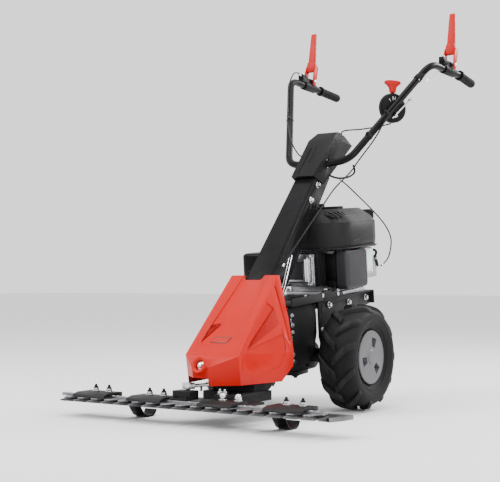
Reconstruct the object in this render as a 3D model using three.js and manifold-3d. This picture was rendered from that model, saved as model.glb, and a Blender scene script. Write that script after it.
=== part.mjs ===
// Walk-behind sickle-bar brush mower: finger bar, drive, engine, column and handlebars.
// Millimetres, +Z up, front of the machine towards -Y, +X to the machine's left-hand side.
import * as THREE from "three";
import { mergeVertices } from "three/addons/utils/BufferGeometryUtils.js";
import { ConvexGeometry } from "three/addons/geometries/ConvexGeometry.js";
import Module from "manifold-3d";

const wasm = await Module();
wasm.setup();

// ---------- driving dimensions ----------
// The working frame has the axle at y = 0. The finished group is moved so that its origin
// is on the ground, in the middle of the machine's length.
const LENGTH_MIDDLE_Y = 70;
const GAP = 0.3; // clearance between pieces that touch

const FINGER_PITCH = 50.8;
const FINGER_COUNT = 18;
const KNIFE_STROKE = 50.8;
const FINGER_TIP_Y = -632;
const BAR_FRONT_Y = -560;
const BAR_REAR_Y = -515;
const BAR_TOP = 56;
const BOLT_ROW_Y = -536;
const SWING_ARM_LENGTH = 78;
const SWING_PIVOT = [-26, -448];
const SKID_X = 246;
const SKID_WIDTH = 42;

const AXLE_HEIGHT = 165;
const AXLE_RADIUS = 12.5;
const HALF_TRACK = 208;
const TYRE_RADIUS = 151;
const SHROUD_Y = 205;
const LUG_RADIUS = 163;
const LUGS_PER_SIDE = 11;

const DECK_TILT = 5; // the engine deck rises to the rear, in degrees
const DECK_TOP = 344;
const CRANK_Y = 190;
const INPUT_SHAFT_Y = -49;
const BELT_Z = 305;

const COLUMN_FOOT = [-243, 406]; // y and z of a point on the column's front web
const COLUMN_LEAN = Math.atan2(319, 273);
const HANDLE_TUBE_RADIUS = 12;
const HANDLE_CORNERS = [
  [30, 105, 781],
  [113, 125, 791],
  [278, 411, 1139],
  [286, 640, 1135],
  [281, 767, 1125],
];
const HANDLE_BENDS = [40, 48, 12];
const GRIP_RADIUS = 15.5;
const LEVER_PIVOT_Y = 560;
const LEVER_PIVOT_Z = 1157;
const SELECTOR_CENTRE = [188, 300, 979];
const SELECTOR_RADIUS = 50;
const SELECTOR_NORMAL = Math.atan2(-0.502, 0.865);

// ---------- finishes ----------
const finish = (color, roughness, metalness) =>
  new THREE.MeshStandardMaterial({ color, roughness, metalness });
const MATERIALS = {
  redShell: () => finish(0xd83a2c, 0.38, 0),
  blackSteel: () => finish(0x1f1f21, 0.45, 0.4),
  blackPlastic: () => finish(0x2b2a2d, 0.55, 0),
  rubber: () => finish(0x232324, 0.9, 0),
  bladeSteel: () => finish(0x9a9aa0, 0.35, 0.9),
  zincSteel: () => finish(0xb9bbc2, 0.3, 1),
  aluminium: () => finish(0xa9abb0, 0.5, 0.9),
  greyPlastic: () => finish(0x8f8f95, 0.5, 0),
  filterGrey: () => finish(0x58565b, 0.55, 0),
  tankPlastic: () => finish(0xe2ecee, 0.35, 0),
  knobRed: () => finish(0xe04038, 0.4, 0),
};

// ---------- small tools ----------
function solid(geometry) {
  const bare = geometry.clone();
  bare.deleteAttribute("normal");
  bare.deleteAttribute("uv");
  const merged = mergeVertices(bare, 1e-3);
  const mesh = new wasm.Mesh({
    numProp: 3,
    vertProperties: merged.attributes.position.array,
    triVerts: new Uint32Array(merged.index.array),
  });
  return new wasm.Manifold(mesh);
}

function geometryOf(shape) {
  const { vertProperties, triVerts } = shape.getMesh();
  const geometry = new THREE.BufferGeometry();
  geometry.setAttribute("position", new THREE.BufferAttribute(vertProperties, 3));
  geometry.setIndex(new THREE.BufferAttribute(triVerts, 1));
  geometry.computeVertexNormals();
  return geometry;
}

const join = (...shapes) => shapes.reduce((whole, shape) => whole.add(shape));
const cut = (shape, ...tools) => tools.reduce((rest, tool) => rest.subtract(tool), shape);

function block(x0, x1, y0, y1, z0, z1) {
  const box = new THREE.BoxGeometry(x1 - x0, y1 - y0, z1 - z0);
  return solid(box.translate((x0 + x1) / 2, (y0 + y1) / 2, (z0 + z1) / 2));
}

// A round bar or bore between two points.
function rod(radius, from, to, sides = 16) {
  const start = new THREE.Vector3(...from);
  const run = new THREE.Vector3(...to).sub(start);
  const bar = new THREE.CylinderGeometry(radius, radius, run.length(), sides);
  const turn = new THREE.Quaternion().setFromUnitVectors(
    new THREE.Vector3(0, 1, 0),
    run.clone().normalize(),
  );
  bar.applyQuaternion(turn);
  bar.translate(...start.addScaledVector(run, 0.5).toArray());
  return solid(bar);
}

// A ring or disc turned about the X axis: the profile holds [radius, distance along X].
function turnedAboutX(profile, sides, x, y, z) {
  const points = profile.map(([radius, along]) => new THREE.Vector2(radius, along));
  const ring = new THREE.LatheGeometry(points, sides);
  ring.rotateZ(-Math.PI / 2);
  return solid(ring.translate(x, y, z));
}

const BASES = {
  yz: [new THREE.Vector3(0, 1, 0), new THREE.Vector3(0, 0, 1), new THREE.Vector3(1, 0, 0)],
  xy: [new THREE.Vector3(1, 0, 0), new THREE.Vector3(0, 1, 0), new THREE.Vector3(0, 0, 1)],
  xz: [new THREE.Vector3(1, 0, 0), new THREE.Vector3(0, 0, 1), new THREE.Vector3(0, -1, 0)],
};

// An outline in the yz, xy or xz plane, drawn out across that plane from low to high.
function prism(plane, outline, low, high) {
  const shape = new THREE.Shape(outline.map(([a, b]) => new THREE.Vector2(a, b)));
  const body = new THREE.ExtrudeGeometry(shape, { depth: high - low, bevelEnabled: false });
  body.translate(0, 0, plane === "xz" ? -high : low);
  body.applyMatrix4(new THREE.Matrix4().makeBasis(...BASES[plane]));
  return solid(body);
}

const hull = (points) =>
  solid(new ConvexGeometry(points.map((point) => new THREE.Vector3(...point))));

// Each point and its twin on the other side of the machine.
const bothSides = (points) => points.flatMap(([x, y, z]) => [[x, y, z], [-x, y, z]]);

// A round section drawn along a smooth curve through the points.
function cord(points, radius, steps, sides = 6) {
  const path = new THREE.CatmullRomCurve3(
    points.map((point) => new THREE.Vector3(...point)),
    false,
    "centripetal",
  );
  return sweep(path, radius, steps, sides);
}

function sweep(path, radius, steps, sides) {
  const around = Array.from({ length: sides }, (_, i) => (2 * Math.PI * i) / sides);
  const section = new THREE.Shape(
    around.map((a) => new THREE.Vector2(radius * Math.cos(a), radius * Math.sin(a))),
  );
  return solid(new THREE.ExtrudeGeometry(section, { steps, extrudePath: path }));
}

// Straight runs joined by round bends.
function bentTube(corners, radius, bends, steps, sides) {
  const points = corners.map((corner) => new THREE.Vector3(...corner));
  const path = new THREE.CurvePath();
  let start = points[0];
  for (let i = 1; i < points.length - 1; i += 1) {
    const before = points[i].clone().sub(points[i - 1]).setLength(bends[i - 1]);
    const after = points[i + 1].clone().sub(points[i]).setLength(bends[i - 1]);
    const enter = points[i].clone().sub(before);
    const leave = points[i].clone().add(after);
    path.add(new THREE.LineCurve3(start, enter));
    path.add(new THREE.QuadraticBezierCurve3(enter, points[i], leave));
    start = leave;
  }
  path.add(new THREE.LineCurve3(start, points[points.length - 1]));
  return sweep(path, radius, steps, sides);
}

// A strip of plate whose centre line is given in the yz plane.
function bentStrip(line, thickness, x0, x1) {
  const points = line.map(([y, z]) => new THREE.Vector2(y, z));
  const side = points.map((point, i) => {
    const ahead = points[Math.min(i + 1, points.length - 1)];
    const behind = points[Math.max(i - 1, 0)];
    const run = ahead.clone().sub(behind).normalize();
    return new THREE.Vector2(-run.y, run.x).multiplyScalar(thickness / 2);
  });
  const upper = points.map((point, i) => point.clone().add(side[i]));
  const lower = points.map((point, i) => point.clone().sub(side[i])).reverse();
  return prism("yz", [...upper, ...lower].map((point) => [point.x, point.y]), x0, x1);
}

// Corner points of a rectangle with rounded corners, centred on cx, cy.
function roundedRectangle(cx, cy, halfX, halfY, radius, steps) {
  const corners = [[1, 1, 0], [-1, 1, 1], [-1, -1, 2], [1, -1, 3]];
  return corners.flatMap(([sx, sy, quarter]) =>
    Array.from({ length: steps + 1 }, (_, i) => {
      const angle = (Math.PI / 2) * (quarter + i / steps);
      return [
        cx + sx * (halfX - radius) + radius * Math.cos(angle),
        cy + sy * (halfY - radius) + radius * Math.sin(angle),
      ];
    }),
  );
}

const mirrored = (side, [x, y, z]) => [side * x, y, z];
const along = (from, to, share) => from.map((value, i) => value + (to[i] - value) * share);

const mower = new THREE.Group();
mower.position.y = -LENGTH_MIDDLE_Y;
const deckGroup = new THREE.Group();
deckGroup.position.set(0, 0, AXLE_HEIGHT);
deckGroup.rotation.x = THREE.MathUtils.degToRad(DECK_TILT);
mower.add(deckGroup);

function add(name, shape, material, group = mower) {
  const mesh = new THREE.Mesh(geometryOf(shape.simplify(0.02)), MATERIALS[material]());
  mesh.name = name;
  if (group === deckGroup) mesh.position.z = -AXLE_HEIGHT;
  group.add(mesh);
}

// ---------- cutter bar ----------
const fingerX = (index) => (index - (FINGER_COUNT - 1) / 2) * FINGER_PITCH;
const BAR_HALF = fingerX(FINGER_COUNT - 1) + 16;

function finger(x) {
  return hull([
    [x - 11, BAR_FRONT_Y + 8, 44], [x + 11, BAR_FRONT_Y + 8, 44],
    [x - 11, BAR_FRONT_Y + 8, BAR_TOP], [x + 11, BAR_FRONT_Y + 8, BAR_TOP],
    [x - 9, BAR_FRONT_Y - 24, 43], [x + 9, BAR_FRONT_Y - 24, 43],
    [x - 9, BAR_FRONT_Y - 24, BAR_TOP], [x + 9, BAR_FRONT_Y - 24, BAR_TOP],
    [x - 2.5, FINGER_TIP_Y, 50], [x + 2.5, FINGER_TIP_Y, 50],
    [x - 2.5, FINGER_TIP_Y, 54], [x + 2.5, FINGER_TIP_Y, 54],
  ]);
}

function buildFingerBar() {
  let bar = block(-BAR_HALF, BAR_HALF, BAR_FRONT_Y, BAR_REAR_Y, 46, BAR_TOP);
  for (let i = 0; i < FINGER_COUNT; i += 1) bar = join(bar, finger(fingerX(i)));
  for (const side of [-1, 1]) {
    const shoe = [
      [BAR_HALF - 12, -515], [BAR_HALF - 12, -596], [BAR_HALF - 2, -604],
      [BAR_HALF + 12, -566], [BAR_HALF + 19, -515],
    ];
    const outline = side > 0 ? shoe : shoe.map(([x, y]) => [-x, y]).reverse();
    bar = join(bar, prism("xy", outline, 45, BAR_TOP));
  }
  add("finger_bar", bar, "bladeSteel");
}

// The knife rests at the right-hand end of its stroke.
function buildKnife() {
  const sectionCount = 17;
  const middle = -KNIFE_STROKE / 2;
  const rearY = BAR_FRONT_Y + 2;
  const half = (sectionCount * FINGER_PITCH) / 2;
  const teeth = [];
  for (let i = 0; i < sectionCount; i += 1) {
    const x = middle - half + i * FINGER_PITCH;
    teeth.push([x + 0.5, -568], [x + 18, -608], [x + FINGER_PITCH - 18, -608]);
    teeth.push([x + FINGER_PITCH - 0.5, -568]);
  }
  const outline = [...teeth, [middle + half, rearY], [middle - half, rearY]];
  const blades = prism("xy", outline, BAR_TOP + GAP, BAR_TOP + 3.5);
  const back = block(
    middle - half - 26, middle + half + 10, -572, rearY, BAR_TOP + 1.2, BAR_TOP + 10,
  );
  add("knife", join(blades, back), "bladeSteel");
}

const CLIP_OUTLINE = [
  [-518, BAR_TOP + GAP], [-550, BAR_TOP + GAP], [-550, 67], [-574, 67], [-582, 61],
  [-602, 61], [-598, 67], [-578, 73], [-518, 73],
];

function studAndNut(x, y, z) {
  return join(
    rod(8.5, [x, y, z - 1], [x, y, z + 8], 6),
    rod(6.5, [x, y, z + 7], [x, y, z + 13], 12),
    rod(3.6, [x, y, z + 12], [x, y, z + 20], 10),
  );
}

function buildClips() {
  [1, 5, 14].forEach((index, number) => {
    const x = fingerX(index) + FINGER_PITCH / 2;
    const clip = join(
      prism("yz", CLIP_OUTLINE, x - 60, x + 60),
      studAndNut(x - FINGER_PITCH / 2, BOLT_ROW_Y, 73),
      studAndNut(x + FINGER_PITCH / 2, BOLT_ROW_Y, 73),
    );
    add(["knife_clip_right", "knife_clip_middle", "knife_clip_left"][number], clip, "blackSteel");
  });
}

function buildSkids() {
  const line = [
    [-549, 43], [-532, 43], [-523, 38], [-514, 25], [-502, 10], [-486, 2.5],
    [-464, 2.5], [-452, 8], [-445, 20],
  ];
  for (const side of [-1, 1]) {
    const x = side * SKID_X;
    const skid = bentStrip(line, 5, x - SKID_WIDTH / 2, x + SKID_WIDTH / 2);
    add(side > 0 ? "skid_left" : "skid_right", skid, "blackSteel");
  }
}

// The casting that carries the bar at the front of the machine.
function buildCarrier() {
  const carrier = join(
    block(-91, 150, -546, -440, BAR_TOP + GAP, 63),
    prism("yz", CLIP_OUTLINE, 34, 146),
    block(34, 104, -520, -330, 60, 84),
    block(-60, 104, -440, -330, 56.3, 84),
    block(-58, 90, -400, -330, 80, 117.7),
    studAndNut(fingerX(10), BOLT_ROW_Y, 73),
    studAndNut(fingerX(11), BOLT_ROW_Y, 73),
  );
  add("bar_carrier", carrier, "blackSteel");
}

// ---------- knife drive ----------
const swingAngle = Math.asin(KNIFE_STROKE / 2 / SWING_ARM_LENGTH);
const ARM_FRONT = [
  SWING_PIVOT[0] - SWING_ARM_LENGTH * Math.sin(swingAngle),
  SWING_PIVOT[1] - SWING_ARM_LENGTH * Math.cos(swingAngle),
];

function buildKnifeHead() {
  const x = ARM_FRONT[0];
  const head = join(
    block(x - 30, x + 30, -556, -514, 67, 92),
    block(x - 30, x + 30, -572, -550, BAR_TOP + 10 + GAP, 72),
    rod(4, [x - 20, -562, 71], [x - 20, -562, 78], 8),
    rod(4, [x + 20, -562, 71], [x + 20, -562, 78], 8),
  );
  const slot = block(x - 7, x + 7, -535, -500, 77, 100);
  add("knife_head", cut(head, slot), "blackSteel");
}

function buildSwingArm() {
  const [px, py] = SWING_PIVOT;
  const [fx, fy] = ARM_FRONT;
  const reach = [fx - px, fy - py].map((step) => step / SWING_ARM_LENGTH);
  const across = [-reach[1], reach[0]];
  const along = (distance, width) => [
    px + reach[0] * distance + across[0] * width,
    py + reach[1] * distance + across[1] * width,
  ];
  const bar = prism("xy", [along(0, 11), along(0, -11), along(70, -9), along(70, 9)], 99, 107);
  const end = prism(
    "xy",
    [along(64, 14), along(64, -14), along(90, -14), along(90, 14)],
    95,
    112,
  );
  const arm = join(
    bar,
    end,
    rod(14, [px, py, 97], [px, py, 110], 20),
    rod(6, [fx, fy, 80], [fx, fy, 100], 16),
    rod(3.5, [...along(34, 0), 86], [...along(34, 0), 100], 8),
    rod(8, [px, py, 93], [px, py, 150], 20),
    rod(13, [px, py, 90], [px, py, 98], 6),
  );
  add("swing_arm", arm, "zincSteel");
}

function buildKnifeDrive() {
  const [px, py] = SWING_PIVOT;
  const frontWall = [
    [-330, 118], [-425, 118], [-468, 126], [-474, 140], [-440, 168], [-400, 178],
    [-262, 178], [-240, 172], [-240, 118],
  ];
  const shell = prism("yz", frontWall, -58, 46);
  const room = join(
    block(-46, 34, -410, -256, 119.6, 174.6),
    block(-30, 18, -380, -280, 110, 130),
    rod(12, [0, -270, 150], [0, -225, 150], 16),
    rod(8.3, [px, py, 100], [px, py, 160], 20),
  );
  const footOutline = [[-372, 262], [-300, 170], [-242, 170], [-242, 326], [-262, 326]];
  const foot = join(
    prism("yz", footOutline, 51.5, 55.5),
    prism("yz", footOutline, -55.5, -51.5),
    block(-57, 57, -300, -242, 166, 178),
  );
  add("knife_drive_case", cut(join(shell, foot), room), "blackSteel");
  const crank = join(
    rod(26, [0, -8, 0], [0, 8, 0], 28),
    rod(5, [14, -20, 0], [14, 6, 0], 12),
    rod(7, [0, 0, 0], [0, 196, 0], 16),
  );
  add("knife_crank", crank.rotate([DECK_TILT, 0, 0]).translate([0, -300, 147]), "zincSteel");
}

// ---------- front cover ----------
// The hood and its nose as outer points; `inset` moves every wall inwards.
function coverBody(inset, open) {
  const top = 415 - inset;
  const rear = -250 + open;
  const low = 107 - open;
  const slope = inset * 1.35;
  const hood = bothSides([
    [80 - inset, -264 + slope, top], [91 - inset, -482 + slope, 188 - inset * 0.2],
    [81 - inset, rear, top], [112 - inset, rear, 290], [131 - inset, rear, 190],
    [129 - inset, rear, 150 - open], [120 - inset, -300, low], [90 - inset, -468 + inset, low],
  ]);
  const nose = bothSides([
    [91 - inset, -482 + inset, 188 - inset], [28 - inset / 2, -538 + inset, 158 - inset],
    [28 - inset / 2, -528 + inset, low], [90 - inset, -468 + inset, low],
    [91 - inset, -430, 186 - inset], [90 - inset, -430, low],
  ]);
  return join(hull(hood), hull(nose));
}

function buildCover() {
  const wall = 5;
  const outer = coverBody(0, 0);
  const skin = (depth) => cut(outer, coverBody(depth, 0));
  const sidePanel = [
    [-328, 337], [-304, 318], [-285, 245], [-281, 200], [-307, 151], [-409, 131], [-449, 151],
    [-457, 189],
  ];
  const groove = [[-284, 386], [-277, 380], [-259, 222], [-264, 206], [-268, 224]];
  const frontPanel = [
    [-33, 430], [33, 430], [57, 270], [62, 224], [48, 212], [-48, 212], [-62, 224], [-57, 270],
  ];
  const boss = rod(23, [0, -500, 150], [0, -544, 166], 24);
  let shell = cut(join(outer, boss), coverBody(wall, 12));
  let panels = prism("xz", frontPanel, -480, -255);
  for (const [low, high] of [[72, 140], [-140, -72]]) {
    panels = join(panels, prism("yz", sidePanel, low, high), prism("yz", groove, low, high));
  }
  shell = cut(shell, panels.intersect(skin(2.2)));
  const columnNotch = [[-42, 430], [42, 430], [38, 412], [28, 401], [-28, 401], [-38, 412]];
  const screwWell = rod(15, [0, -532, 161.6], [0, -560, 171.8], 20);
  const screwHole = rod(5, [0, -480, 142.7], [0, -560, 171.8], 12);
  const armNotch = block(-88, 24, -560, -452, 90, 128);
  shell = cut(shell, prism("xz", columnNotch, -330, -230), screwWell, screwHole, armNotch);
  add("front_cover", shell, "redShell");
}

// ---------- transmission, in the tilted deck frame ----------
function spurDisc(teeth, outer, root, x0, x1, bore) {
  const outline = Array.from({ length: teeth * 4 }, (_, i) => {
    const angle = (2 * Math.PI * (i + 0.5)) / (teeth * 4);
    const radius = i % 4 < 2 ? outer : root;
    return [radius * Math.cos(angle), AXLE_HEIGHT + radius * Math.sin(angle)];
  });
  const gear = prism("yz", outline, x0, x1);
  return cut(gear, rod(bore, [x0 - 1, 0, AXLE_HEIGHT], [x1 + 1, 0, AXLE_HEIGHT]));
}

function buildTransmission() {
  const axleLine = (radius, half, sides = 24) =>
    rod(radius, [-half, 0, AXLE_HEIGHT], [half, 0, AXLE_HEIGHT], sides);
  const caseShell = cut(
    join(axleLine(42, 52, 28), axleLine(22, 132), block(-46, 46, -98, 0, 128, 240)),
    axleLine(36, 40, 28),
    axleLine(AXLE_RADIUS + 0.6, 140),
    block(-20, 20, -72, 0, 140, 200),
    block(-24, 24, -60, 8, 110, 150),
    rod(8.6, [0, INPUT_SHAFT_Y, 190], [0, INPUT_SHAFT_Y, 250]),
    rod(7.8, [0, -80, 173.3], [0, -120, 173.3]),
  );
  add("gear_case", caseShell, "blackSteel", deckGroup);
  add("axle", axleLine(AXLE_RADIUS, 246), "zincSteel");
  add("worm_wheel", spurDisc(14, 34, 29, -10, 10, AXLE_RADIUS + GAP), "zincSteel");
  const sump = join(
    block(-34, 34, -78, 24, 118, 122.6),
    block(-26, 26, -64, 8, 106, 120),
    rod(11, [0, -30, 99], [0, -30, 107], 6),
    rod(6, [0, -30, 94], [0, -30, 100], 12),
  );
  add("sump_cover", sump, "blackSteel", deckGroup);
  const worm = join(
    rod(8, [0, INPUT_SHAFT_Y, 143], [0, INPUT_SHAFT_Y, 328], 20),
    rod(11.5, [0, INPUT_SHAFT_Y, 148], [0, INPUT_SHAFT_Y, 184], 20),
    pulley(INPUT_SHAFT_Y, 36, 48),
  );
  add("input_pulley", worm, "zincSteel", deckGroup);
}

function pulley(y, groove, flange) {
  return join(
    rod(flange, [0, y, BELT_Z - 4], [0, y, BELT_Z - 1], 24),
    rod(groove, [0, y, BELT_Z - 2], [0, y, BELT_Z + 14], 24),
    rod(flange, [0, y, BELT_Z + 13], [0, y, BELT_Z + 16], 24),
  );
}

function beltLoop(grow, z0, z1) {
  const circle = (y, radius) =>
    Array.from({ length: 24 }, (_, i) => {
      const angle = (2 * Math.PI * i) / 24;
      return [radius * Math.cos(angle), y + radius * Math.sin(angle)];
    });
  const ring = [...circle(INPUT_SHAFT_Y, 36.8 + grow), ...circle(CRANK_Y, 28.8 + grow)];
  return hull(ring.flatMap(([x, y]) => [[x, y, z0], [x, y, z1]]));
}

function buildBeltDrive() {
  const belt = cut(beltLoop(9, BELT_Z, BELT_Z + 12), beltLoop(0, BELT_Z - 5, BELT_Z + 20));
  add("drive_belt", belt, "rubber", deckGroup);
  const crank = join(
    rod(11, [0, CRANK_Y, BELT_Z - 8], [0, CRANK_Y, 372], 20),
    pulley(CRANK_Y, 28, 38),
  );
  add("engine_pulley", crank, "zincSteel", deckGroup);
  const arm = cut(
    join(
      prism("xy", [[72, 74], [84, 74], [88, 160], [70, 160]], 323, 327),
      rod(12, [79, 160, 323], [79, 160, 327], 20),
      rod(9, [78, 78, 323], [78, 78, 327], 20),
      rod(5, [78, 78, 300], [78, 78, 325], 12),
      rod(15, [78, 78, BELT_Z - 1], [78, 78, BELT_Z + 13], 24),
    ),
    rod(5.3, [79, 160, 310], [79, 160, 335], 16),
  );
  add("tension_arm", arm, "zincSteel", deckGroup);
}

// The deep dark casing around the belt in front of the left-hand wheel.
const GUARD_OUTLINE = [
  [-220, 335], [-82, 335], [-60, 326], [-54, 305], [-54, 245], [-72, 196], [-116, 160],
  [-142, 150], [-220, 150],
];

function buildBeltGuard() {
  const inner = [
    [-216, 350], [-82, 350], [-60, 340], [-58, 305], [-58, 246], [-76, 199], [-118, 164],
    [-143, 154], [-216, 154],
  ];
  const shell = cut(
    prism("yz", GUARD_OUTLINE, -100, 100),
    prism("yz", inner, -96, 96),
    block(-62, 62, -90, -40, 280, 340),
    block(-50, 50, -130, -40, 140, 250),
    block(-20, 20, -90, -40, 240, 290),
    rod(12, [0, -200, 173.3], [0, -240, 173.3], 16),
  );
  add("belt_guard", shell, "blackPlastic", deckGroup);
}

function buildDeck() {
  const plate = block(-118, 118, -222, 310, DECK_TOP - 4, DECK_TOP);
  const cheek = (x) => block(x - 2, x + 2, -222, -40, DECK_TOP - 1, DECK_TOP + 20);
  const deck = cut(
    join(plate, cheek(116), cheek(-116), block(-118, 118, 306, 310, 300, DECK_TOP)),
    rod(32, [0, CRANK_Y, 330], [0, CRANK_Y, 360], 28),
    rod(13, [0, INPUT_SHAFT_Y, 330], [0, INPUT_SHAFT_Y, 360]),
    block(-70, 70, -240, -196, 330, 370),
  );
  const idlerPost = rod(5, [79, 160, 319], [79, 160, 342], 16);
  let frame = join(deck, idlerPost);
  const outline = [
    [-48, 342], [304, 342], [304, 300], [215, 290], [112, 238], [60, 228], [34, 192],
    [34, 140], [-34, 140], [-34, 192], [-48, 228],
  ];
  for (const side of [-1, 1]) {
    const [low, high] = side > 0 ? [101, 105] : [-105, -101];
    const sheet = cut(
      prism("yz", outline, low, high),
      rod(22.6, [low - 5, 0, AXLE_HEIGHT], [high + 5, 0, AXLE_HEIGHT]),
      block(low - 5, high + 5, -33, -28, 298, 326),
      rod(4.5, [low - 5, 0, 322], [high + 5, 0, 322], 12),
    );
    frame = join(frame, sheet);
  }
  add("engine_frame", frame, "blackSteel", deckGroup);
}

// ---------- column ----------
// A shape given in the deck frame, turned with the deck.
const tilted = (shape) =>
  shape
    .translate([0, 0, -AXLE_HEIGHT])
    .rotate([DECK_TILT, 0, 0])
    .translate([0, 0, AXLE_HEIGHT]);

function columnPoint(along, depth) {
  const [y, z] = COLUMN_FOOT;
  return [
    y + along * Math.cos(COLUMN_LEAN) + depth * Math.sin(COLUMN_LEAN),
    z + along * Math.sin(COLUMN_LEAN) - depth * Math.cos(COLUMN_LEAN),
  ];
}

function buildColumn() {
  const low = -185;
  const high = 500;
  const section = [
    [-49, 96], [-49, 13], [-42, 0], [42, 0], [49, 13], [49, 96], [46, 96], [46, 14],
    [40.5, 3], [-40.5, 3], [-46, 14], [-46, 96],
  ];
  const shape = new THREE.Shape(section.map(([x, depth]) => new THREE.Vector2(x, depth)));
  const beam = new THREE.ExtrudeGeometry(shape, { depth: high - low, bevelEnabled: false });
  const position = beam.getAttribute("position");
  for (let i = 0; i < position.count; i += 1) {
    const share = position.getZ(i) / (high - low);
    const [y, z] = columnPoint(low + position.getZ(i), position.getY(i) * (1 - 0.24 * share));
    position.setXYZ(i, position.getX(i) * (1 - 0.26 * share), y, z);
  }
  const channel = solid(beam);
  const socket = (side, radius, reach) => {
    const [inner, outer] = [HANDLE_CORNERS[0], HANDLE_CORNERS[1]].map((c) => mirrored(side, c));
    return rod(radius, along(inner, outer, -0.42), along(inner, outer, reach));
  };
  const sleeves = [1, -1].map((side) => socket(side, 17, 0.08));
  const bores = [1, -1].map((side) => socket(side, HANDLE_TUBE_RADIUS + 0.6, 0.5));
  const deckClearance = tilted(block(-130, 130, -242, 60, -200, 346));
  const shroudClearance = tilted(shroudBody(-1.5, 480));
  let column = cut(join(channel, ...sleeves), ...bores, deckClearance, shroudClearance);
  for (const place of [353, 422]) {
    const [y, z] = columnPoint(place, 28);
    column = join(column, rod(7, [34, y, z], [46, y, z], 6), rod(7, [-34, y, z], [-46, y, z], 6));
  }
  add("column", column, "blackSteel");
}

// ---------- console ----------
function consoleBody(inset, open) {
  return hull(
    bothSides([
      [41 - inset, 20 + inset * 1.2, 736 - open], [47 - inset, 143 + inset * 1.2, 868],
      [38 - inset, 188, 897 - inset], [38 - inset, 224, 895 - inset],
      [49 - inset, 272 - inset * 1.3, 858], [46 - inset, 80 + open * 1.5, 712 - open],
      [48 - inset, 200, 868 - inset],
    ]),
  );
}

function buildConsole() {
  let shell = cut(consoleBody(0, 0), consoleBody(3.5, 14));
  const groove = prism("xz", [[-22, 745], [-14, 745], [-18, 838], [-22, 838]], -20, 180);
  shell = cut(shell, groove.intersect(cut(consoleBody(0, 0), consoleBody(2.2, 0))));
  for (const side of [-1, 1]) {
    const [inner, outer] = [HANDLE_CORNERS[0], HANDLE_CORNERS[1]].map((c) => mirrored(side, c));
    shell = cut(shell, rod(14, inner, outer));
  }
  shell = cut(
    shell,
    rod(6, [-30, 95.8, 800.8], [-76, 124.3, 824.9], 12),
    rod(6, [33, 212, 874.5], [37.4, 246.7, 920], 12),
  );
  const guide = cord([
    [44, 118, 745], [58, 150, 738], [62, 236, 752], [60, 270, 772], [58, 262, 792],
  ], 3.5, 14);
  add("console_cover", join(shell, guide), "blackPlastic");
}

// ---------- handlebars, grips and levers ----------

function tubePoint(share, side) {
  const [from, to] = [HANDLE_CORNERS[1], HANDLE_CORNERS[2]];
  return mirrored(side, from.map((start, i) => start + (to[i] - start) * share));
}

function buildHandlebar(side, word) {
  const corners = HANDLE_CORNERS.map((corner) => mirrored(side, corner));
  corners[0] = along(corners[0], corners[1], -0.32);
  add(`handlebar_${word}`, bentTube(corners, HANDLE_TUBE_RADIUS, HANDLE_BENDS, 22, 12), "blackSteel");

  const [start, end] = [corners[3], corners[4]];
  const past = end.map((value, i) => value + (value - start[i]) * 0.035);
  const grip = cut(
    join(rod(GRIP_RADIUS, start, past, 20), rod(18.5, start, along(start, end, 0.07), 20)),
    rod(HANDLE_TUBE_RADIUS + 0.5, along(start, end, -0.1), along(start, end, 1.006), 16),
  );
  add(`grip_${word}`, grip, "rubber");
}

function buildLever(side, word) {
  const [bend, start] = [HANDLE_CORNERS[2], HANDLE_CORNERS[3]].map((c) => mirrored(side, c));
  const middle = along(bend, start, (LEVER_PIVOT_Y - bend[1]) / (start[1] - bend[1]));
  const x = middle[0];
  const pin = [LEVER_PIVOT_Y, LEVER_PIVOT_Z];
  const bracket = cut(
    join(
      rod(16.5, along(bend, start, 0.42), along(bend, start, 0.78), 20),
      block(x - 11, x + 11, 492, 578, 1146, 1166),
      block(x - 9, x + 9, 488, 520, 1160, 1176),
      rod(4, [x - 25, ...pin], [x + 25, ...pin], 12),
    ),
    rod(HANDLE_TUBE_RADIUS + GAP, along(bend, start, 0.2), along(bend, start, 1.1), 20),
  );
  add(`lever_bracket_${word}`, bracket, "blackPlastic");

  const cheekOutline = [
    [546, 1150], [560, 1140], [574, 1150], [588, 1212], [568, 1222], [548, 1180],
  ];
  const cheek = (low, high) => prism("yz", cheekOutline, x + low, x + high);
  const yoke = hull([
    [x - 21.5, 562, 1204], [x + 21.5, 562, 1204], [x - 21.5, 586, 1204], [x + 21.5, 586, 1204],
    [x - 15, 572, 1232], [x + 15, 572, 1232], [x - 15, 584, 1232], [x + 15, 584, 1232],
  ]);
  const blade = hull([
    [x - 14, 573, 1224], [x + 14, 573, 1224], [x - 14, 583, 1224], [x + 14, 583, 1224],
    [x - 10, 587, 1340], [x + 10, 587, 1340], [x - 10, 597, 1340], [x + 10, 597, 1340],
    [x - 5, 589, 1350], [x + 5, 589, 1350], [x - 5, 597, 1350], [x + 5, 597, 1350],
  ]);
  const lever = cut(
    join(cheek(17.5, 21.5), cheek(-21.5, -17.5), yoke, blade),
    rod(4.4, [x - 30, ...pin], [x + 30, ...pin], 12),
  );
  add(`lever_${word}`, lever, "knobRed");
}

// ---------- gear selector ----------
function placeSelector(shape) {
  return shape
    .rotate([0, 0, THREE.MathUtils.radToDeg(SELECTOR_NORMAL)])
    .translate(SELECTOR_CENTRE);
}

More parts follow.
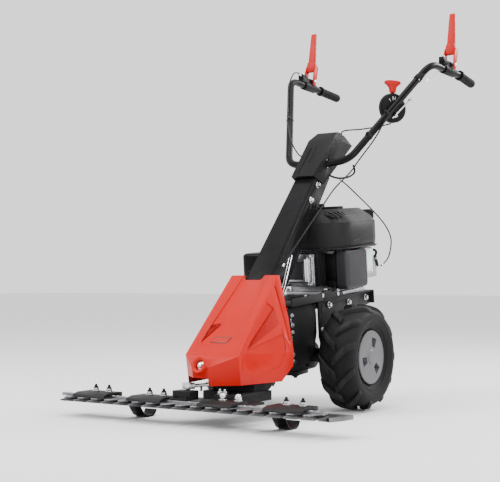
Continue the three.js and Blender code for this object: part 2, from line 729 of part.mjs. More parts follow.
// Built with its axis along X and its lever pointing up, then turned onto the handlebar.
function buildSelector() {
  const hub = [[0, -9], [SELECTOR_RADIUS, -9], [SELECTOR_RADIUS, 5], [45, 9], [0, 9]];
  const slotSector = prism("yz", [[-9, 0], [9, 0], [45, 62], [-45, 62]], -4.5, 4.5);
  const housing = cut(
    turnedAboutX(hub, 36, 0, 0, 0),
    slotSector.subtract(rod(14, [-20, 0, 0], [20, 0, 0], 20)),
    rod(14.3, [-5, 0, 0], [5, 0, 0], 20),
    rod(5.3, [-20, 0, 0], [20, 0, 0], 12),
  );
  const saddle = cut(
    block(8, 26, -17, 17, -20, 20).rotate([-44, 0, 0]),
    rod(5.3, [0, 0, 0], [20, 0, 0], 12),
  );
  const tube = rod(HANDLE_TUBE_RADIUS + GAP, tubePoint(0.3, 1), tubePoint(0.9, 1));
  const body = cut(placeSelector(join(housing, saddle)), tube);
  add("selector_housing", body, "blackPlastic");
  const knob = hull([
    [-8, -30, 84], [8, -30, 84], [-8, 30, 84], [8, 30, 84], [-6, -26, 92], [6, -26, 92],
    [-6, 26, 92], [6, 26, 92], [-7, -10, 64], [7, -10, 64], [-7, 10, 64], [7, 10, 64],
  ]);
  const lever = join(
    knob,
    block(-7, 7, -9, 9, 53, 66),
    block(-3.5, 3.5, -6, 6, 0, 58),
    rod(12, [-4, 0, 0], [4, 0, 0], 20),
    rod(5, [-14, 0, 0], [9.8, 0, 0], 12),
  );
  add("selector_knob", placeSelector(lever), "knobRed");
}

// ---------- engine, in the tilted deck frame ----------
function shroudBody(inset, low) {
  const level = (shrink, z) =>
    roundedRectangle(0, SHROUD_Y, 140 - shrink, 160 - shrink, 90 - shrink * 0.6, 4).map(
      ([x, y]) => [x, y, z],
    );
  return hull([
    ...level(inset + 3, low), ...level(inset, 520), ...level(inset, 576), ...level(inset + 14, 598),
    ...level(inset + 46, 622 - inset),
  ]);
}

function buildShroud() {
  let shell = cut(shroudBody(0, 494), shroudBody(4, 480));
  for (let i = 0; i < 5; i += 1) {
    const y = 74 + i * 13;
    shell = cut(shell, block(76, 120, y, y + 6, 590, 612));
  }
  shell = cut(shell, rod(26, [94, 328, 496], [94, 328, 640], 20));
  shell = cut(shell, rod(60, [0, CRANK_Y, 600], [0, CRANK_Y, 640], 24));
  const neck = cut(
    join(rod(20, [94, 328, 490], [94, 328, 576], 20), rod(25, [94, 328, 490], [94, 328, 494], 20)),
    rod(14, [94, 328, 480], [94, 328, 590], 20),
  );
  add("engine_shroud", join(shell, neck), "blackPlastic", deckGroup);
  const starter = cut(
    rod(70, [0, CRANK_Y, 622.3], [0, CRANK_Y, 630], 28),
    rod(50, [0, CRANK_Y, 610], [0, CRANK_Y, 626], 24),
  );
  const slots = Array.from({ length: 12 }, (_, i) =>
    block(24, 44, CRANK_Y - 4, CRANK_Y + 4, 610, 640)
      .translate([0, -CRANK_Y, 0])
      .rotate([0, 0, i * 30])
      .translate([0, CRANK_Y, 0]),
  );
  const outlet = cut(
    block(-68, -40, 224, 248, 622.3, 640),
    rod(4, [-54, 200, 634], [-54, 300, 634], 12),
  );
  add("starter_cover", join(cut(starter, ...slots), outlet), "blackPlastic", deckGroup);
  const grip = join(
    rod(7, [-76, 260, 634], [-32, 260, 634], 16),
    block(-60, -48, 253, 267, 628, 640),
    rod(2.4, [-54, 212, 634], [-54, 256, 634], 8),
  );
  add("starter_grip", grip, "blackPlastic", deckGroup);
}

function buildEngineBlock() {
  const body = cut(
    join(
      block(-84, 84, 106, 272, 355, 486),
      prism("xy", roundedRectangle(0, CRANK_Y, 104, 100, 24, 4), DECK_TOP + 0.6, 356),
      rod(62, [0, CRANK_Y, 486], [0, CRANK_Y, 500], 28),
      block(60, 100, 268, 274, 360, 396),
      block(97, 100, 268, 372, 384, 398),
      block(97, 100, 352, 372, 384, 458),
      rod(4, [96, 362, 446], [108, 362, 446], 12),
    ),
    rod(11.6, [0, CRANK_Y, 340], [0, CRANK_Y, 380]),
    rod(9.5, [-58, 262, 400], [-58, 262, 500], 16),
  );
  add("crankcase", body, "aluminium", deckGroup);
  const dipstick = join(
    rod(9, [-58, 262, 488], [-58, 262, 492], 16),
    rod(4, [-58, 262, 410], [-58, 262, 490], 8),
  );
  add("oil_dipstick", dipstick, "blackPlastic", deckGroup);
  let barrel = block(-46, 46, 40, 105.7, 388, 474);
  for (let i = 0; i < 7; i += 1) {
    barrel = join(barrel, block(-59, 59, 42 + i * 9.4, 45.5 + i * 9.4, 378, 484));
  }
  add("cylinder_fins", barrel, "blackSteel", deckGroup);
  const head = join(
    block(-50, 50, 26, 39.7, 380, 482),
    rod(7, [43, 30, 386], [43, 12, 386], 6),
    rod(7, [43, 30, 476], [43, 12, 476], 6),
    rod(7, [-43, 30, 386], [-43, 12, 386], 6),
    rod(7, [-43, 30, 476], [-43, 12, 476], 6),
  );
  const cover = hull(
    bothSides([
      [34, 27, 392], [34, 27, 470], [34, 12, 392], [34, 12, 470], [28, 4, 400], [28, 4, 462],
    ]),
  );
  add("cylinder_head", join(head, cover), "aluminium", deckGroup);
  const plug = join(
    rod(7, [-58, 60, 474], [-74, 52, 478], 12),
    rod(9.5, [-72, 53, 478], [-92, 43, 481], 14),
  );
  add("spark_plug_cap", cut(plug, block(-62, 0, 0, 120, 370, 490)), "rubber", deckGroup);
}

function buildIntakeAndExhaust() {
  const filterSlice = (x0, x1, shrink) =>
    prism("yz", roundedRectangle(166, 426, 76 - shrink, 63 - shrink, 14, 3), x0, x1);
  add("air_filter_cover", join(filterSlice(101, 130, 0), filterSlice(128, 135, 5)), "filterGrey", deckGroup);
  const base = cut(
    join(filterSlice(86, 100.7, 3), block(84.3, 88, 140, 196, 400, 452)),
    block(60, 90, 155, 180, 412, 438),
  );
  add("air_filter_base", base, "blackPlastic", deckGroup);
  add("fuel_tank", hull([
    [98, 276, 404], [98, 346, 412], [98, 276, 488], [98, 340, 488],
    [20, 276, 404], [20, 340, 412], [20, 276, 488], [20, 334, 488], [112, 290, 416], [112, 330, 484],
  ]), "tankPlastic", deckGroup);
  const cap = cut(
    join(rod(23, [94, 328, 572], [94, 328, 600], 20), rod(18, [94, 328, 600], [94, 328, 604], 20)),
    rod(20.4, [94, 328, 560], [94, 328, 577], 20),
  );
  add("fuel_cap", cap, "blackPlastic", deckGroup);
  const muffler = join(
    hull([
      ...roundedRectangle(-165, 88, 58, 66, 22, 4).map(([x, y]) => [x, y, 390]),
      ...roundedRectangle(-165, 88, 58, 66, 22, 4).map(([x, y]) => [x, y, 482]),
      ...roundedRectangle(-165, 88, 50, 58, 18, 4).map(([x, y]) => [x, y, 384]),
      ...roundedRectangle(-165, 88, 50, 58, 18, 4).map(([x, y]) => [x, y, 488]),
    ]),
    block(-110, -60.5, 62, 100, 410, 440),
    rod(13, [-180, 40, 420], [-180, 6, 420], 16),
  );
  add("muffler", muffler, "blackSteel", deckGroup);
}

function buildThrottle() {
  const lever = cut(
    prism("yz", [[354, 456], [368, 458], [384, 420], [374, 416]], 100.4, 104),
    rod(4.4, [90, 362, 446], [120, 362, 446], 12),
  );
  add("throttle_lever", lever, "blackSteel", deckGroup);
}

// ---------- wheels ----------
function buildWheel(side, word) {
  const x = side * HALF_TRACK;
  const place = (shape) => (side > 0 ? shape : shape.mirror([1, 0, 0]));
  const tyreProfile = [
    [80, -37], [92, -47], [116, -60], [136, -60], [146, -48], [TYRE_RADIUS, 0], [146, 48],
    [136, 60], [116, 60], [92, 47], [80, 37], [88, 34], [130, 50], [146, 0], [130, -50],
    [88, -34], [80, -37],
  ];
  let tyre = turnedAboutX(tyreProfile, 22, 0, 0, 0);
  for (let i = 0; i < LUGS_PER_SIDE * 2; i += 1) {
    const hand = i % 2 ? 1 : -1;
    const lug = solid(new THREE.BoxGeometry(74, 20, 16))
      .rotate([0, 0, hand * 38])
      .translate([hand * 30, 0, LUG_RADIUS - 8])
      .rotate([(360 * i) / (LUGS_PER_SIDE * 2), 0, 0]);
    tyre = join(tyre, lug);
  }
  const centre = [HALF_TRACK, 0, AXLE_HEIGHT];
  add(`tyre_${word}`, place(tyre.translate(centre)), "rubber");

  const rimProfile = [
    [13.5, -42], [26, -42], [26, -4], [66, -4], [72, -40], [84, -46.5], [78, -37], [78, 37],
    [84, 46.5], [72, 40], [66, 2], [26, 2], [26, 36], [13.5, 36], [13.5, -42],
  ];
  const rim = turnedAboutX(rimProfile, 20, 0, 0, 0).translate(centre);
  add(`rim_${word}`, place(rim), "blackSteel");

  const capProfile = [[0, 41], [16, 41], [20, 47], [83, 47], [81, 50], [24, 50], [21, 53], [0, 53]];
  let cap = turnedAboutX(capProfile, 24, 0, 0, 0);
  for (let i = 0; i < 3; i += 1) {
    const window = prism("yz", [[32, -10], [60, -15], [60, 15], [32, 10]], 30, 60);
    cap = cut(cap, window.rotate([73 + i * 120, 0, 0]));
  }
  add(`hub_cap_${word}`, place(cap.translate(centre)), "greyPlastic");
}

// ---------- cables ----------
const offTube = (share, side, [dx, dy, dz]) => {
  const [x, y, z] = tubePoint(share, side);
  return [x + dx, y + dy, z + dz];
};

function buildCables() {
  const above = [0, -15, 12];
  const outer = [15, -8.7, 0];
  add("clutch_cable", cord([
    [-279, 486, 1169], [-279, 462, 1176], [-278, 426, 1164], offTube(0.86, -1, above),
    offTube(0.6, -1, above), offTube(0.46, -1, above), [-128, 160, 882], [-82, 128, 828],
    [-40, 102, 806],
  ], 2.6, 26), "rubber");
  add("drive_cable", cord([
    offTube(0.84, 1, outer), offTube(0.6, 1, outer), offTube(0.42, 1, outer),
    offTube(0.26, 1, [12, 10, -12]), [118, 190, 798], [94, 174, 758], [80, 90, 697],
    [76, 10, 630], [74, -80, 556], [68, -160, 484], [64, -205, 440],
  ], 3, 26), "rubber");
  add("throttle_cable", cord([
    [22, 228, 746], [50, 275, 705], [80, 373, 638], [92, 440, 590], [98, 468, 545],
    [104, 440, 490], [109, 392, 462], [109, 366, 452],
  ], 2.4, 26), "rubber");
  add("selector_cable", cord([
    [34, 220, 885], [36, 236, 906], [90, 268, 912], [150, 278, 918], [184, 294, 926.4],
  ], 2, 16), "rubber");
}

buildFingerBar();
buildKnife();
buildClips();
buildSkids();
buildCarrier();
buildKnifeHead();
buildSwingArm();
buildKnifeDrive();
buildCover();
buildTransmission();
buildBeltDrive();
buildBeltGuard();
buildDeck();
buildColumn();
buildConsole();
for (const [side, word] of [[1, "left"], [-1, "right"]]) {
  buildHandlebar(side, word);
  buildLever(side, word);
  buildWheel(side, word);
}
buildSelector();
buildShroud();
buildEngineBlock();
buildIntakeAndExhaust();
buildThrottle();
buildCables();

export default mower;
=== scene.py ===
"""Builds the looks of a walk-behind sickle-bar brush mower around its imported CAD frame."""

import math
import random

import bmesh
import bpy
from bpy.props import FloatProperty, FloatVectorProperty, IntProperty, PointerProperty
from mathutils import Matrix, Vector


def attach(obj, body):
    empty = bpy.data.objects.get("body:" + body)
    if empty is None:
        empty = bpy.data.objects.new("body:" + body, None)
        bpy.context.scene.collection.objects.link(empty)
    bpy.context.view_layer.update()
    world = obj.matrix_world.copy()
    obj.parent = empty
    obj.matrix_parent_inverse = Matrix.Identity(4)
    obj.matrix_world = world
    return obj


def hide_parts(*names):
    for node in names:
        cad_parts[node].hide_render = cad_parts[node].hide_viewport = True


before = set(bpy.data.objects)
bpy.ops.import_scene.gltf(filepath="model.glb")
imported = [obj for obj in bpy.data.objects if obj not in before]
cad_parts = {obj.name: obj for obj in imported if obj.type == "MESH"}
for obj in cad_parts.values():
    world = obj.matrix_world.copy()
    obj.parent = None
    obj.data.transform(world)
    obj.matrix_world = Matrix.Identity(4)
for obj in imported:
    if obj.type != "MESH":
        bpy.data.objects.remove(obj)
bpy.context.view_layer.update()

bl_info = {
    "name": "Brush mower",
    "version": (1, 0, 0),
    "blender": (4, 5, 0),
    "location": "3D View > Sidebar > Mower",
    "description": "Dresses the CAD parts of a walk-behind sickle-bar mower",
    "category": "Object",
}

def about(axis, degrees):
    """A turn about one axis."""
    return Matrix.Rotation(math.radians(degrees), 4, axis)


# Millimetres of the working frame (axle at y = 0) into metres of the row's frame.
MIDDLE_Y = 70.0
AXLE_Z = 165.0
LEVEL = Matrix.Translation((0, -MIDDLE_Y / 1000, 0)) @ Matrix.Scale(0.001, 4)
DECK = (Matrix.Translation((0, -MIDDLE_Y / 1000, AXLE_Z / 1000)) @ about("X", 5)
    @ Matrix.Scale(0.001, 4) @ Matrix.Translation((0, 0, -AXLE_Z)))


# ---------- sizes and colours a user may change ----------
class MowerWheelSettings(bpy.types.PropertyGroup):
    lug_pairs: IntProperty(name="Lug pairs", description="Tread lugs on each side of a tyre",
        default=11, min=8, max=16)
    lug_width: FloatProperty(name="Lug width", description="Width of one tread lug at its top",
        default=0.020, unit="LENGTH")
    hub_colour: FloatVectorProperty(name="Hub cap", description="Colour of the hub caps",
        default=(0.075, 0.075, 0.083), subtype="COLOR", size=3)


class MowerColourSettings(bpy.types.PropertyGroup):
    cover_red: FloatVectorProperty(name="Cover red", description="Colour of the front cover",
        default=(0.44, 0.005, 0.002), subtype="COLOR", size=3)
    lever_red: FloatVectorProperty(name="Lever red", description="Colour of levers and knob",
        default=(0.38, 0.004, 0.003), subtype="COLOR", size=3)
    coat_black: FloatVectorProperty(name="Coat black", description="Colour of the powder coat",
        default=(0.0035, 0.0035, 0.004), subtype="COLOR", size=3)


class MowerEdgeSettings(bpy.types.PropertyGroup):
    sheet_edge: FloatProperty(name="Sheet edge", description="Rounding on sheet steel",
        default=0.0008, unit="LENGTH")
    cover_edge: FloatProperty(name="Cover edge", description="Rounding on the moulded cover",
        default=0.0035, unit="LENGTH")
    cable_radius: FloatProperty(name="Cable radius", description="Radius of a control cable",
        default=0.0024, unit="LENGTH")


# ---------- finishes ----------
FINISHES = {}


def new_tree(name):
    material = bpy.data.materials.new(name)
    material.use_nodes = True
    return material, material.node_tree.nodes, material.node_tree.links


def finish(name, colour, rough, metal=0.0, grain=900, depth=0.00004, mottle=18, spread=0.12,
        rough_spread=0.08, wear=0.0, worn=(0.35, 0.35, 0.36), stretch=(1, 1, 1), specular=0.5,
        glow_through=0.0, dust=0.0):
    """One procedural finish: mottled colour, uneven gloss, fine grain and rubbed edges."""
    material, nodes, links = new_tree(name)
    shader = nodes["Principled BSDF"]

    def add(kind, values, **sources):
        node = nodes.new("ShaderNode" + kind)
        for key, value in values.items():
            node.inputs[key].default_value = value
        for key, source in sources.items():
            links.new(source, node.inputs[key])
        return node

    def ramp(source, spots, tones):
        node = add("ValToRGB", {}, Fac=source)
        for stop, spot, tone in zip(node.color_ramp.elements, spots, tones):
            stop.position = spot
            stop.color = (*tone, 1)
        return node.outputs["Color"]

    def remap(source, from_low, from_high, low, high):
        limits = {"From Min": from_low, "From Max": from_high, "To Min": low, "To Max": high}
        return add("MapRange", limits, Value=source).outputs["Result"]

    def cover(under, colour, share):
        return add("MixRGB", {"Color2": (*colour, 1)}, Fac=share, Color1=under).outputs["Color"]

    where = nodes.new("ShaderNodeTexCoord").outputs["Object"]
    where = add("Mapping", {"Scale": stretch}, Vector=where).outputs["Vector"]
    blotch = add("TexNoise", {"Scale": mottle, "Detail": 6, "Roughness": 0.65}, Vector=where)
    blotch = blotch.outputs["Fac"]
    shade = ramp(blotch, (0.3, 0.7), ([c * (1 - spread) for c in colour], [min(1,
        c * (1 + spread)) for c in colour]))
    gloss = remap(blotch, 0.3, 0.7, max(0.03, rough - rough_spread), min(1, rough + rough_spread))
    shape = nodes.new("ShaderNodeNewGeometry").outputs
    if dust:
        facing_up = add("SeparateXYZ", {}, Vector=shape["Normal"]).outputs["Z"]
        shade = cover(shade, (0.16, 0.155, 0.15), remap(facing_up, 0.3, 1.0, 0.0, dust))
    if wear:
        rubbed = ramp(shape["Pointiness"], (0.53, 0.60), ([0.0] * 3, [wear] * 3))
        shade = cover(shade, worn, rubbed)
    fine = add("TexNoise", {"Scale": grain, "Detail": 3}, Vector=where)
    relief = add("Bump", {"Strength": 0.5, "Distance": depth}, Height=fine.outputs["Fac"])
    for key, source in (("Base Color", shade), ("Roughness", gloss), ("Normal", relief.outputs[0])):
        links.new(source, shader.inputs[key])
    looks = {"Metallic": metal, "Specular IOR Level": specular, "Subsurface Weight": glow_through,
        "Subsurface Scale": 0.01}
    for key, value in looks.items():
        shader.inputs[key].default_value = value
    FINISHES[name] = material


def make_finishes():
    colours = bpy.context.scene.mower_colours
    hub = tuple(bpy.context.scene.mower_wheels.hub_colour)
    black, red = tuple(colours.coat_black), tuple(colours.cover_red)
    # Name, colour, roughness, metal, grain, its depth in metres, mottle, spread, and what else.
    for *row, more in (
        ("moulded_red", red, 0.4, 0, 420, 0.00005, 9, 0.05,
            {"rough_spread": 0.07, "specular": 0.14}),
        ("lever_red", tuple(colours.lever_red), 0.42, 0, 700, 0.00005, 25, 0.06,
            {"specular": 0.15}),
        ("powder_black", black, 0.26, 0, 1300, 0.000015, 14, 0.3,
            {"wear": 0.1, "worn": (0.04, 0.04, 0.042), "specular": 0.08}),
        ("cast_black", (0.005, 0.005, 0.0055), 0.5, 0, 420, 0.00016, 30, 0.35,
            {"wear": 0.12, "worn": (0.06, 0.06, 0.06), "specular": 0.14}),
        ("texture_black", (0.006, 0.0058, 0.0065), 0.5, 0, 1500, 0.00009, 22, 0.2,
            {"specular": 0.09}),
        ("shroud_black", (0.009, 0.0088, 0.0098), 0.46, 0, 1200, 0.00009, 10, 0.15,
            {"specular": 0.14, "dust": 0.01}),
        ("filter_grey", (0.022, 0.021, 0.0245), 0.5, 0, 1300, 0.00008, 12, 0.1,
            {"specular": 0.18, "dust": 0.01}),
        ("grip_rubber", (0.006, 0.006, 0.0065), 0.66, 0, 1500, 0.00006, 40, 0.12,
            {"specular": 0.14}),
        ("cable_black", (0.005, 0.005, 0.0055), 0.45, 0, 1500, 0.00003, 60, 0.12,
            {"specular": 0.16}),
        ("tyre_rubber", (0.006, 0.006, 0.0062), 0.62, 0, 600, 0.00018, 26, 0.3,
            {"wear": 0.3, "worn": (0.03, 0.029, 0.028), "specular": 0.14, "dust": 0.01}),
        ("belt_rubber", (0.02, 0.02, 0.02), 0.8, 0, 900, 0.0001, 60, 0.12, {}),
        ("hub_grey", hub, 0.42, 0, 900, 0.00005, 20, 0.06, {}),
        ("blade_steel", (0.16, 0.16, 0.17), 0.34, 0.95, 260, 0.00005, 30, 0.35,
            {"stretch": (6, 1, 6), "wear": 0.4, "worn": (0.62, 0.62, 0.64)}),
        ("finger_steel", (0.045, 0.045, 0.048), 0.4, 0.8, 500, 0.00012, 35, 0.4,
            {"wear": 0.5, "worn": (0.42, 0.42, 0.44)}),
        ("zinc", (0.62, 0.62, 0.65), 0.26, 1, 800, 0.00003, 45, 0.15, {}),
        ("bright_steel", (0.72, 0.72, 0.74), 0.2, 1, 900, 0.00002, 40, 0.1, {}),
        ("cast_alloy", (0.42, 0.42, 0.45), 0.42, 0.85, 500, 0.00016, 24, 0.2,
            {"wear": 0.4, "worn": (0.7, 0.7, 0.72)}),
        ("machined_alloy", (0.60, 0.60, 0.64), 0.3, 0.95, 700, 0.00005, 30, 0.12, {}),
        ("tank_white", (0.74, 0.82, 0.84), 0.4, 0, 600, 0.00005, 14, 0.05, {"glow_through": 0.3}),
        ("pale_print", (0.62, 0.63, 0.66), 0.5, 0, 900, 0.00002, 50, 0.05, {}),
        ("black_print", (0.012, 0.011, 0.012), 0.45, 0, 900, 0.00002, 50, 0.12, {}),
    ):
        finish(*row, **more)


# ---------- mesh work, in millimetres until the last step ----------
def piece(name, bm, finishes, slot, *nodes, body="chassis", place=LEVEL, sharp=32):
    """Places a mesh, gives it its finishes, and makes it ride on a body."""
    bmesh.ops.transform(bm, matrix=place, verts=bm.verts)
    mesh = bpy.data.meshes.new(name)
    bm.to_mesh(mesh)
    bm.free()
    for key in [finishes] if isinstance(finishes, str) else finishes:
        mesh.materials.append(FINISHES[key])
    mesh.shade_smooth()
    mesh.set_sharp_from_angle(angle=math.radians(sharp))
    obj = bpy.data.objects.new(name, mesh)
    bpy.context.scene.collection.objects.link(obj)
    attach(obj, body)
    if nodes:
        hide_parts(*nodes)
    return obj


def round_edges(bm, edges, width, segments=2):
    """Rounds the edges, and returns the new faces."""
    return bmesh.ops.bevel(bm, geom=list(edges), offset=width, offset_type="OFFSET", affect="EDGES",
        segments=segments, profile=0.5, material=-1, clamp_overlap=True)["faces"]


def kept_and_new(made, faces):
    """A shape's vertices after its edges were rounded."""
    return list({v for f in faces for v in f.verts} | {v for v in made if v.is_valid})


def all_edges(verts):
    return {e for v in verts for e in v.link_edges}


def sharp_edges(bm, degrees, longer=0.0):
    return [e for e in bm.edges
        if len(e.link_faces) == 2 and e.calc_face_angle(0) > math.radians(degrees)
        and e.calc_length() > longer]


def merged_copy(node):
    """A node's mesh, merged and with its flat faces made whole, in metres."""
    bm = bmesh.new()
    bm.from_mesh(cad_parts[node].data)
    bmesh.ops.remove_doubles(bm, verts=bm.verts, dist=0.00002)
    bmesh.ops.dissolve_limit(bm, angle_limit=math.radians(1.0), verts=bm.verts, edges=bm.edges,
        delimit={"NORMAL"})
    return bm


def dressed(node, finishes, slot, edge=0.0008, angle=38, segments=2, sharp=38, body="chassis"):
    """A copy of a CAD node with its edges rounded and a finish of its own."""
    bm = merged_copy(node)
    if edge:
        round_edges(bm, sharp_edges(bm, angle, edge * 1.5), edge, segments)
    return piece(node + "_finished", bm, finishes, slot, node, body=body, place=Matrix(),
        sharp=sharp)


def add_box(bm, low, high, edge=0.0, segments=2, turn=None):
    made = bmesh.ops.create_cube(bm, size=1.0)["verts"]
    size = [h - l for l, h in zip(low, high)]
    centre = Vector([(l + h) / 2 for l, h in zip(low, high)])
    bmesh.ops.scale(bm, vec=size, verts=made)
    if edge:
        made = kept_and_new(made, round_edges(bm, all_edges(made), edge, segments))
    if turn is not None:
        bmesh.ops.transform(bm, matrix=turn, verts=made)
    bmesh.ops.translate(bm, vec=centre, verts=made)
    return made


def add_rod(bm, start, end, radius, tip=None, sides=32, edge=0.0, caps=True):
    """A round or tapered bar between two points, with its end edges rounded."""
    start, end = Vector(start), Vector(end)
    run = end - start
    made = bmesh.ops.create_cone(bm, cap_ends=caps, segments=sides, radius1=radius,
        radius2=radius if tip is None else tip, depth=run.length)["verts"]
    if edge:
        rims = {e for e in all_edges(made) if abs(e.verts[0].co.z - e.verts[1].co.z) < 1e-6}
        made = kept_and_new(made, round_edges(bm, rims, edge))
    turn = run.to_track_quat("Z", "Y").to_matrix().to_4x4()
    bmesh.ops.transform(bm, matrix=Matrix.Translation((start + end) / 2) @ turn, verts=made)
    return made


def add_turned(bm, profile, place, steps=48):
    """A profile of [radius, height] points spun round its own axis, then placed."""
    verts = [bm.verts.new((r, 0, h)) for r, h in profile]
    edges = [bm.edges.new(pair) for pair in zip(verts, verts[1:])]
    out = bmesh.ops.spin(bm, geom=verts + edges, cent=(0, 0, 0), axis=(0, 0, 1), angle=2 * math.pi,
        steps=steps, use_merge=True, use_duplicate=False)
    made = {v for g in out["geom_last"] for v in (g.verts if hasattr(g, "verts") else [g])}
    stack = list(made | set(v for v in verts if v.is_valid))
    found = set(stack)
    while stack:
        for e in stack.pop().link_edges:
            for v in e.verts:
                if v not in found:
                    found.add(v)
                    stack.append(v)
    bmesh.ops.remove_doubles(bm, verts=list(found), dist=0.0005)
    found = [v for v in found if v.is_valid]
    faces = list({f for v in found for f in v.link_faces})
    bmesh.ops.recalc_face_normals(bm, faces=faces)
    bmesh.ops.transform(bm, matrix=place, verts=found)
    return found


ACROSS = about("Y", 90)  # a turned piece's axis laid along X


def add_plate(bm, outline, low, high, plane="yz", edge=0.0, segments=2, material=0):
    """A flat outline drawn out across its plane, with all its edges rounded."""
    spots = {"yz": lambda a, b: (low, a, b), "xy": lambda a, b: (a, b, low), "xz": lambda a, b: (a,
        low, b),}[plane]
    away = {"yz": (high - low, 0, 0), "xy": (0, 0, high - low), "xz": (0, high - low, 0)}[plane]
    face = bm.faces.new([bm.verts.new(spots(a, b)) for a, b in outline])
    out = bmesh.ops.extrude_face_region(bm, geom=[face])
    top = [g for g in out["geom"] if isinstance(g, bmesh.types.BMVert)]
    bmesh.ops.translate(bm, vec=away, verts=top)
    verts = list(set(top) | set(face.verts))
    faces = list({f for v in verts for f in v.link_faces})
    bmesh.ops.recalc_face_normals(bm, faces=faces)
    for f in faces:
        f.material_index = material
    if edge:
        edges = {e for e in all_edges(verts) if e.calc_face_angle(0) > 0.3}
        round_edges(bm, edges, edge, segments)


def smooth_path(points, steps):
    """Points on a centripetal curve through the given ones."""
    knots = [Vector(p) for p in points]
    knots = [knots[0] * 2 - knots[1]] + knots + [knots[-1] * 2 - knots[-2]]
    out = []
    for a, b, c, d in zip(knots, knots[1:], knots[2:], knots[3:]):
        for i in range(steps):
            t = i / steps
            out.append(0.5 * ((2 * b) + (c - a) * t + (2 * a - 5 * b + 4 * c - d) * t * t + (3 * b
                - a - 3 * c + d) * t ** 3))
    return out + [knots[-2]]


def take_curve(bm, curve, turn=Matrix()):
    """Adds a curve's or a text's mesh, turned, and removes the curve."""
    holder = bpy.data.objects.new("holder", curve)
    mesh = bpy.data.meshes.new_from_object(holder)
    mesh.transform(turn)
    bm.from_mesh(mesh)
    bpy.data.objects.remove(holder)
    bpy.data.curves.remove(curve)
    bpy.data.meshes.remove(mesh)


def add_swept(bm, points, radius, rings=6):
    """A round tube along a path."""
    curve = bpy.data.curves.new("swept", "CURVE")
    curve.dimensions = "3D"
    curve.bevel_depth = radius
    curve.bevel_resolution = rings
    curve.use_fill_caps = True
    spline = curve.splines.new("POLY")
    spline.points.add(len(points) - 1)
    for spot, point in zip(spline.points, points):
        spot.co = (*point, 1)
    take_curve(bm, curve)


def add_hex_bolt(bm, base, direction, across=13.0, height=8.0, washer=True, stud=0.0):
    """A hexagon head on a washer, with an optional stud end."""
    base, direction = Vector(base), Vector(direction).normalized()
    if washer:
        add_rod(bm, base, base + direction * 1.8, across * 0.78, sides=28, edge=0.4)
    low = base + direction * (1.6 if washer else 0)
    add_rod(bm, low, low + direction * height, across * 0.577, sides=6, edge=0.8)
    if stud:
        top = low + direction * height
        add_rod(bm, top, top + direction * stud, across * 0.30, sides=16, edge=1.0)


# ---------- cutter bar and knife drive ----------
FINGER_PITCH = 50.8


def finger_x(index):
    return (index - 8.5) * FINGER_PITCH


def make_rivets():
    bm = bmesh.new()
    for i in range(17):
        x = -25.4 + (i - 8) * FINGER_PITCH
        for step in (-9, 9):
            add_rod(bm, (x + step, -565, 65.5), (x + step, -565, 66.8), 3.0, 2.2, 12, 0.3)
    piece("knife_rivets", bm, "zinc", "zinc_steel", body="knife_bar")


def make_clip_nuts():
    nuts, caps = bmesh.new(), bmesh.new()
    for index in (1, 2, 5, 6, 14, 15):
        x = finger_x(index)
        add_rod(nuts, (x, -536, 72.8), (x, -536, 74.6), 11.5, sides=28, edge=0.4)
        add_rod(nuts, (x, -536, 74.4), (x, -536, 82.2), 9.0, sides=6, edge=0.9)
        add_rod(caps, (x, -536, 82), (x, -536, 86.5), 7.2, 6.6, 24, 0.6)
        add_rod(caps, (x, -536, 86.2), (x, -536, 93.4), 4.6, 3.2, 20, 1.0)
    piece("clip_nuts", nuts, "zinc", "zinc_steel")
    piece("clip_caps", caps, "cable_black", "black_plastic")


def make_carrier_nuts():
    bm = bmesh.new()
    for x in (finger_x(10), finger_x(11)):
        add_rod(bm, (x, -536, 72.8), (x, -536, 74.8), 12.5, sides=28, edge=0.4)
        add_rod(bm, (x, -536, 74.6), (x, -536, 83), 9.6, sides=6, edge=0.9)
        dome = bmesh.ops.create_uvsphere(bm, u_segments=24, v_segments=12, radius=8.6)["verts"]
        bmesh.ops.translate(bm, vec=(x, -536, 84), verts=dome)
    for x in (42, 58):
        add_hex_bolt(bm, (x, -500, 83.8), (0, 0, 1), 10, 7, stud=6)
    piece("carrier_nuts", bm, "bright_steel", "zinc_steel")


class MOWER_OT_cutter_bar(bpy.types.Operator):
    """Finger bar, knife, clips, skids and the casting that carries them"""

    bl_idname = "mower.cutter_bar"
    bl_label = "Cutter bar"

    def execute(self, context):
        edge = context.scene.mower_edges.sheet_edge
        dressed("finger_bar", "finger_steel", "blade_steel", 0.0006, 20)
        dressed("knife", "blade_steel", "blade_steel", 0.0003, 30, body="knife_bar")
        for side in ("right", "middle", "left"):
            dressed("knife_clip_" + side, "cast_black", "black_steel", edge)
        for side in ("left", "right"):
            dressed("skid_" + side, "powder_black", "black_steel", 0.0012, 40)
        dressed("bar_carrier", "cast_black", "black_steel", 0.0018)
        dressed("knife_head", "cast_black", "black_steel", 0.0015, body="knife_bar")
        dressed("swing_arm", "zinc", "zinc_steel", 0.0009, body="swing_arm")
        dressed("knife_drive_case", "cast_black", "black_steel", 0.0022)
        dressed("knife_crank", "zinc", "zinc_steel", 0.0006, body="knife_crank")
        make_rivets()
        make_clip_nuts()
        make_carrier_nuts()
        return {"FINISHED"}


# ---------- front cover ----------
def make_screw():
    bm = bmesh.new()
    add_rod(bm, (0, -533.5, 162.2), (0, -535.5, 162.9), 12.5, sides=32, edge=0.5)
    add_rod(bm, (0, -535.3, 162.8), (0, -540.5, 164.7), 8.5, 6.5, 32, 1.4)
    add_rod(bm, (0, -500, 150.0), (0, -534, 162.4), 4.2, sides=16)
    piece("cover_screw", bm, "bright_steel", "zinc_steel")


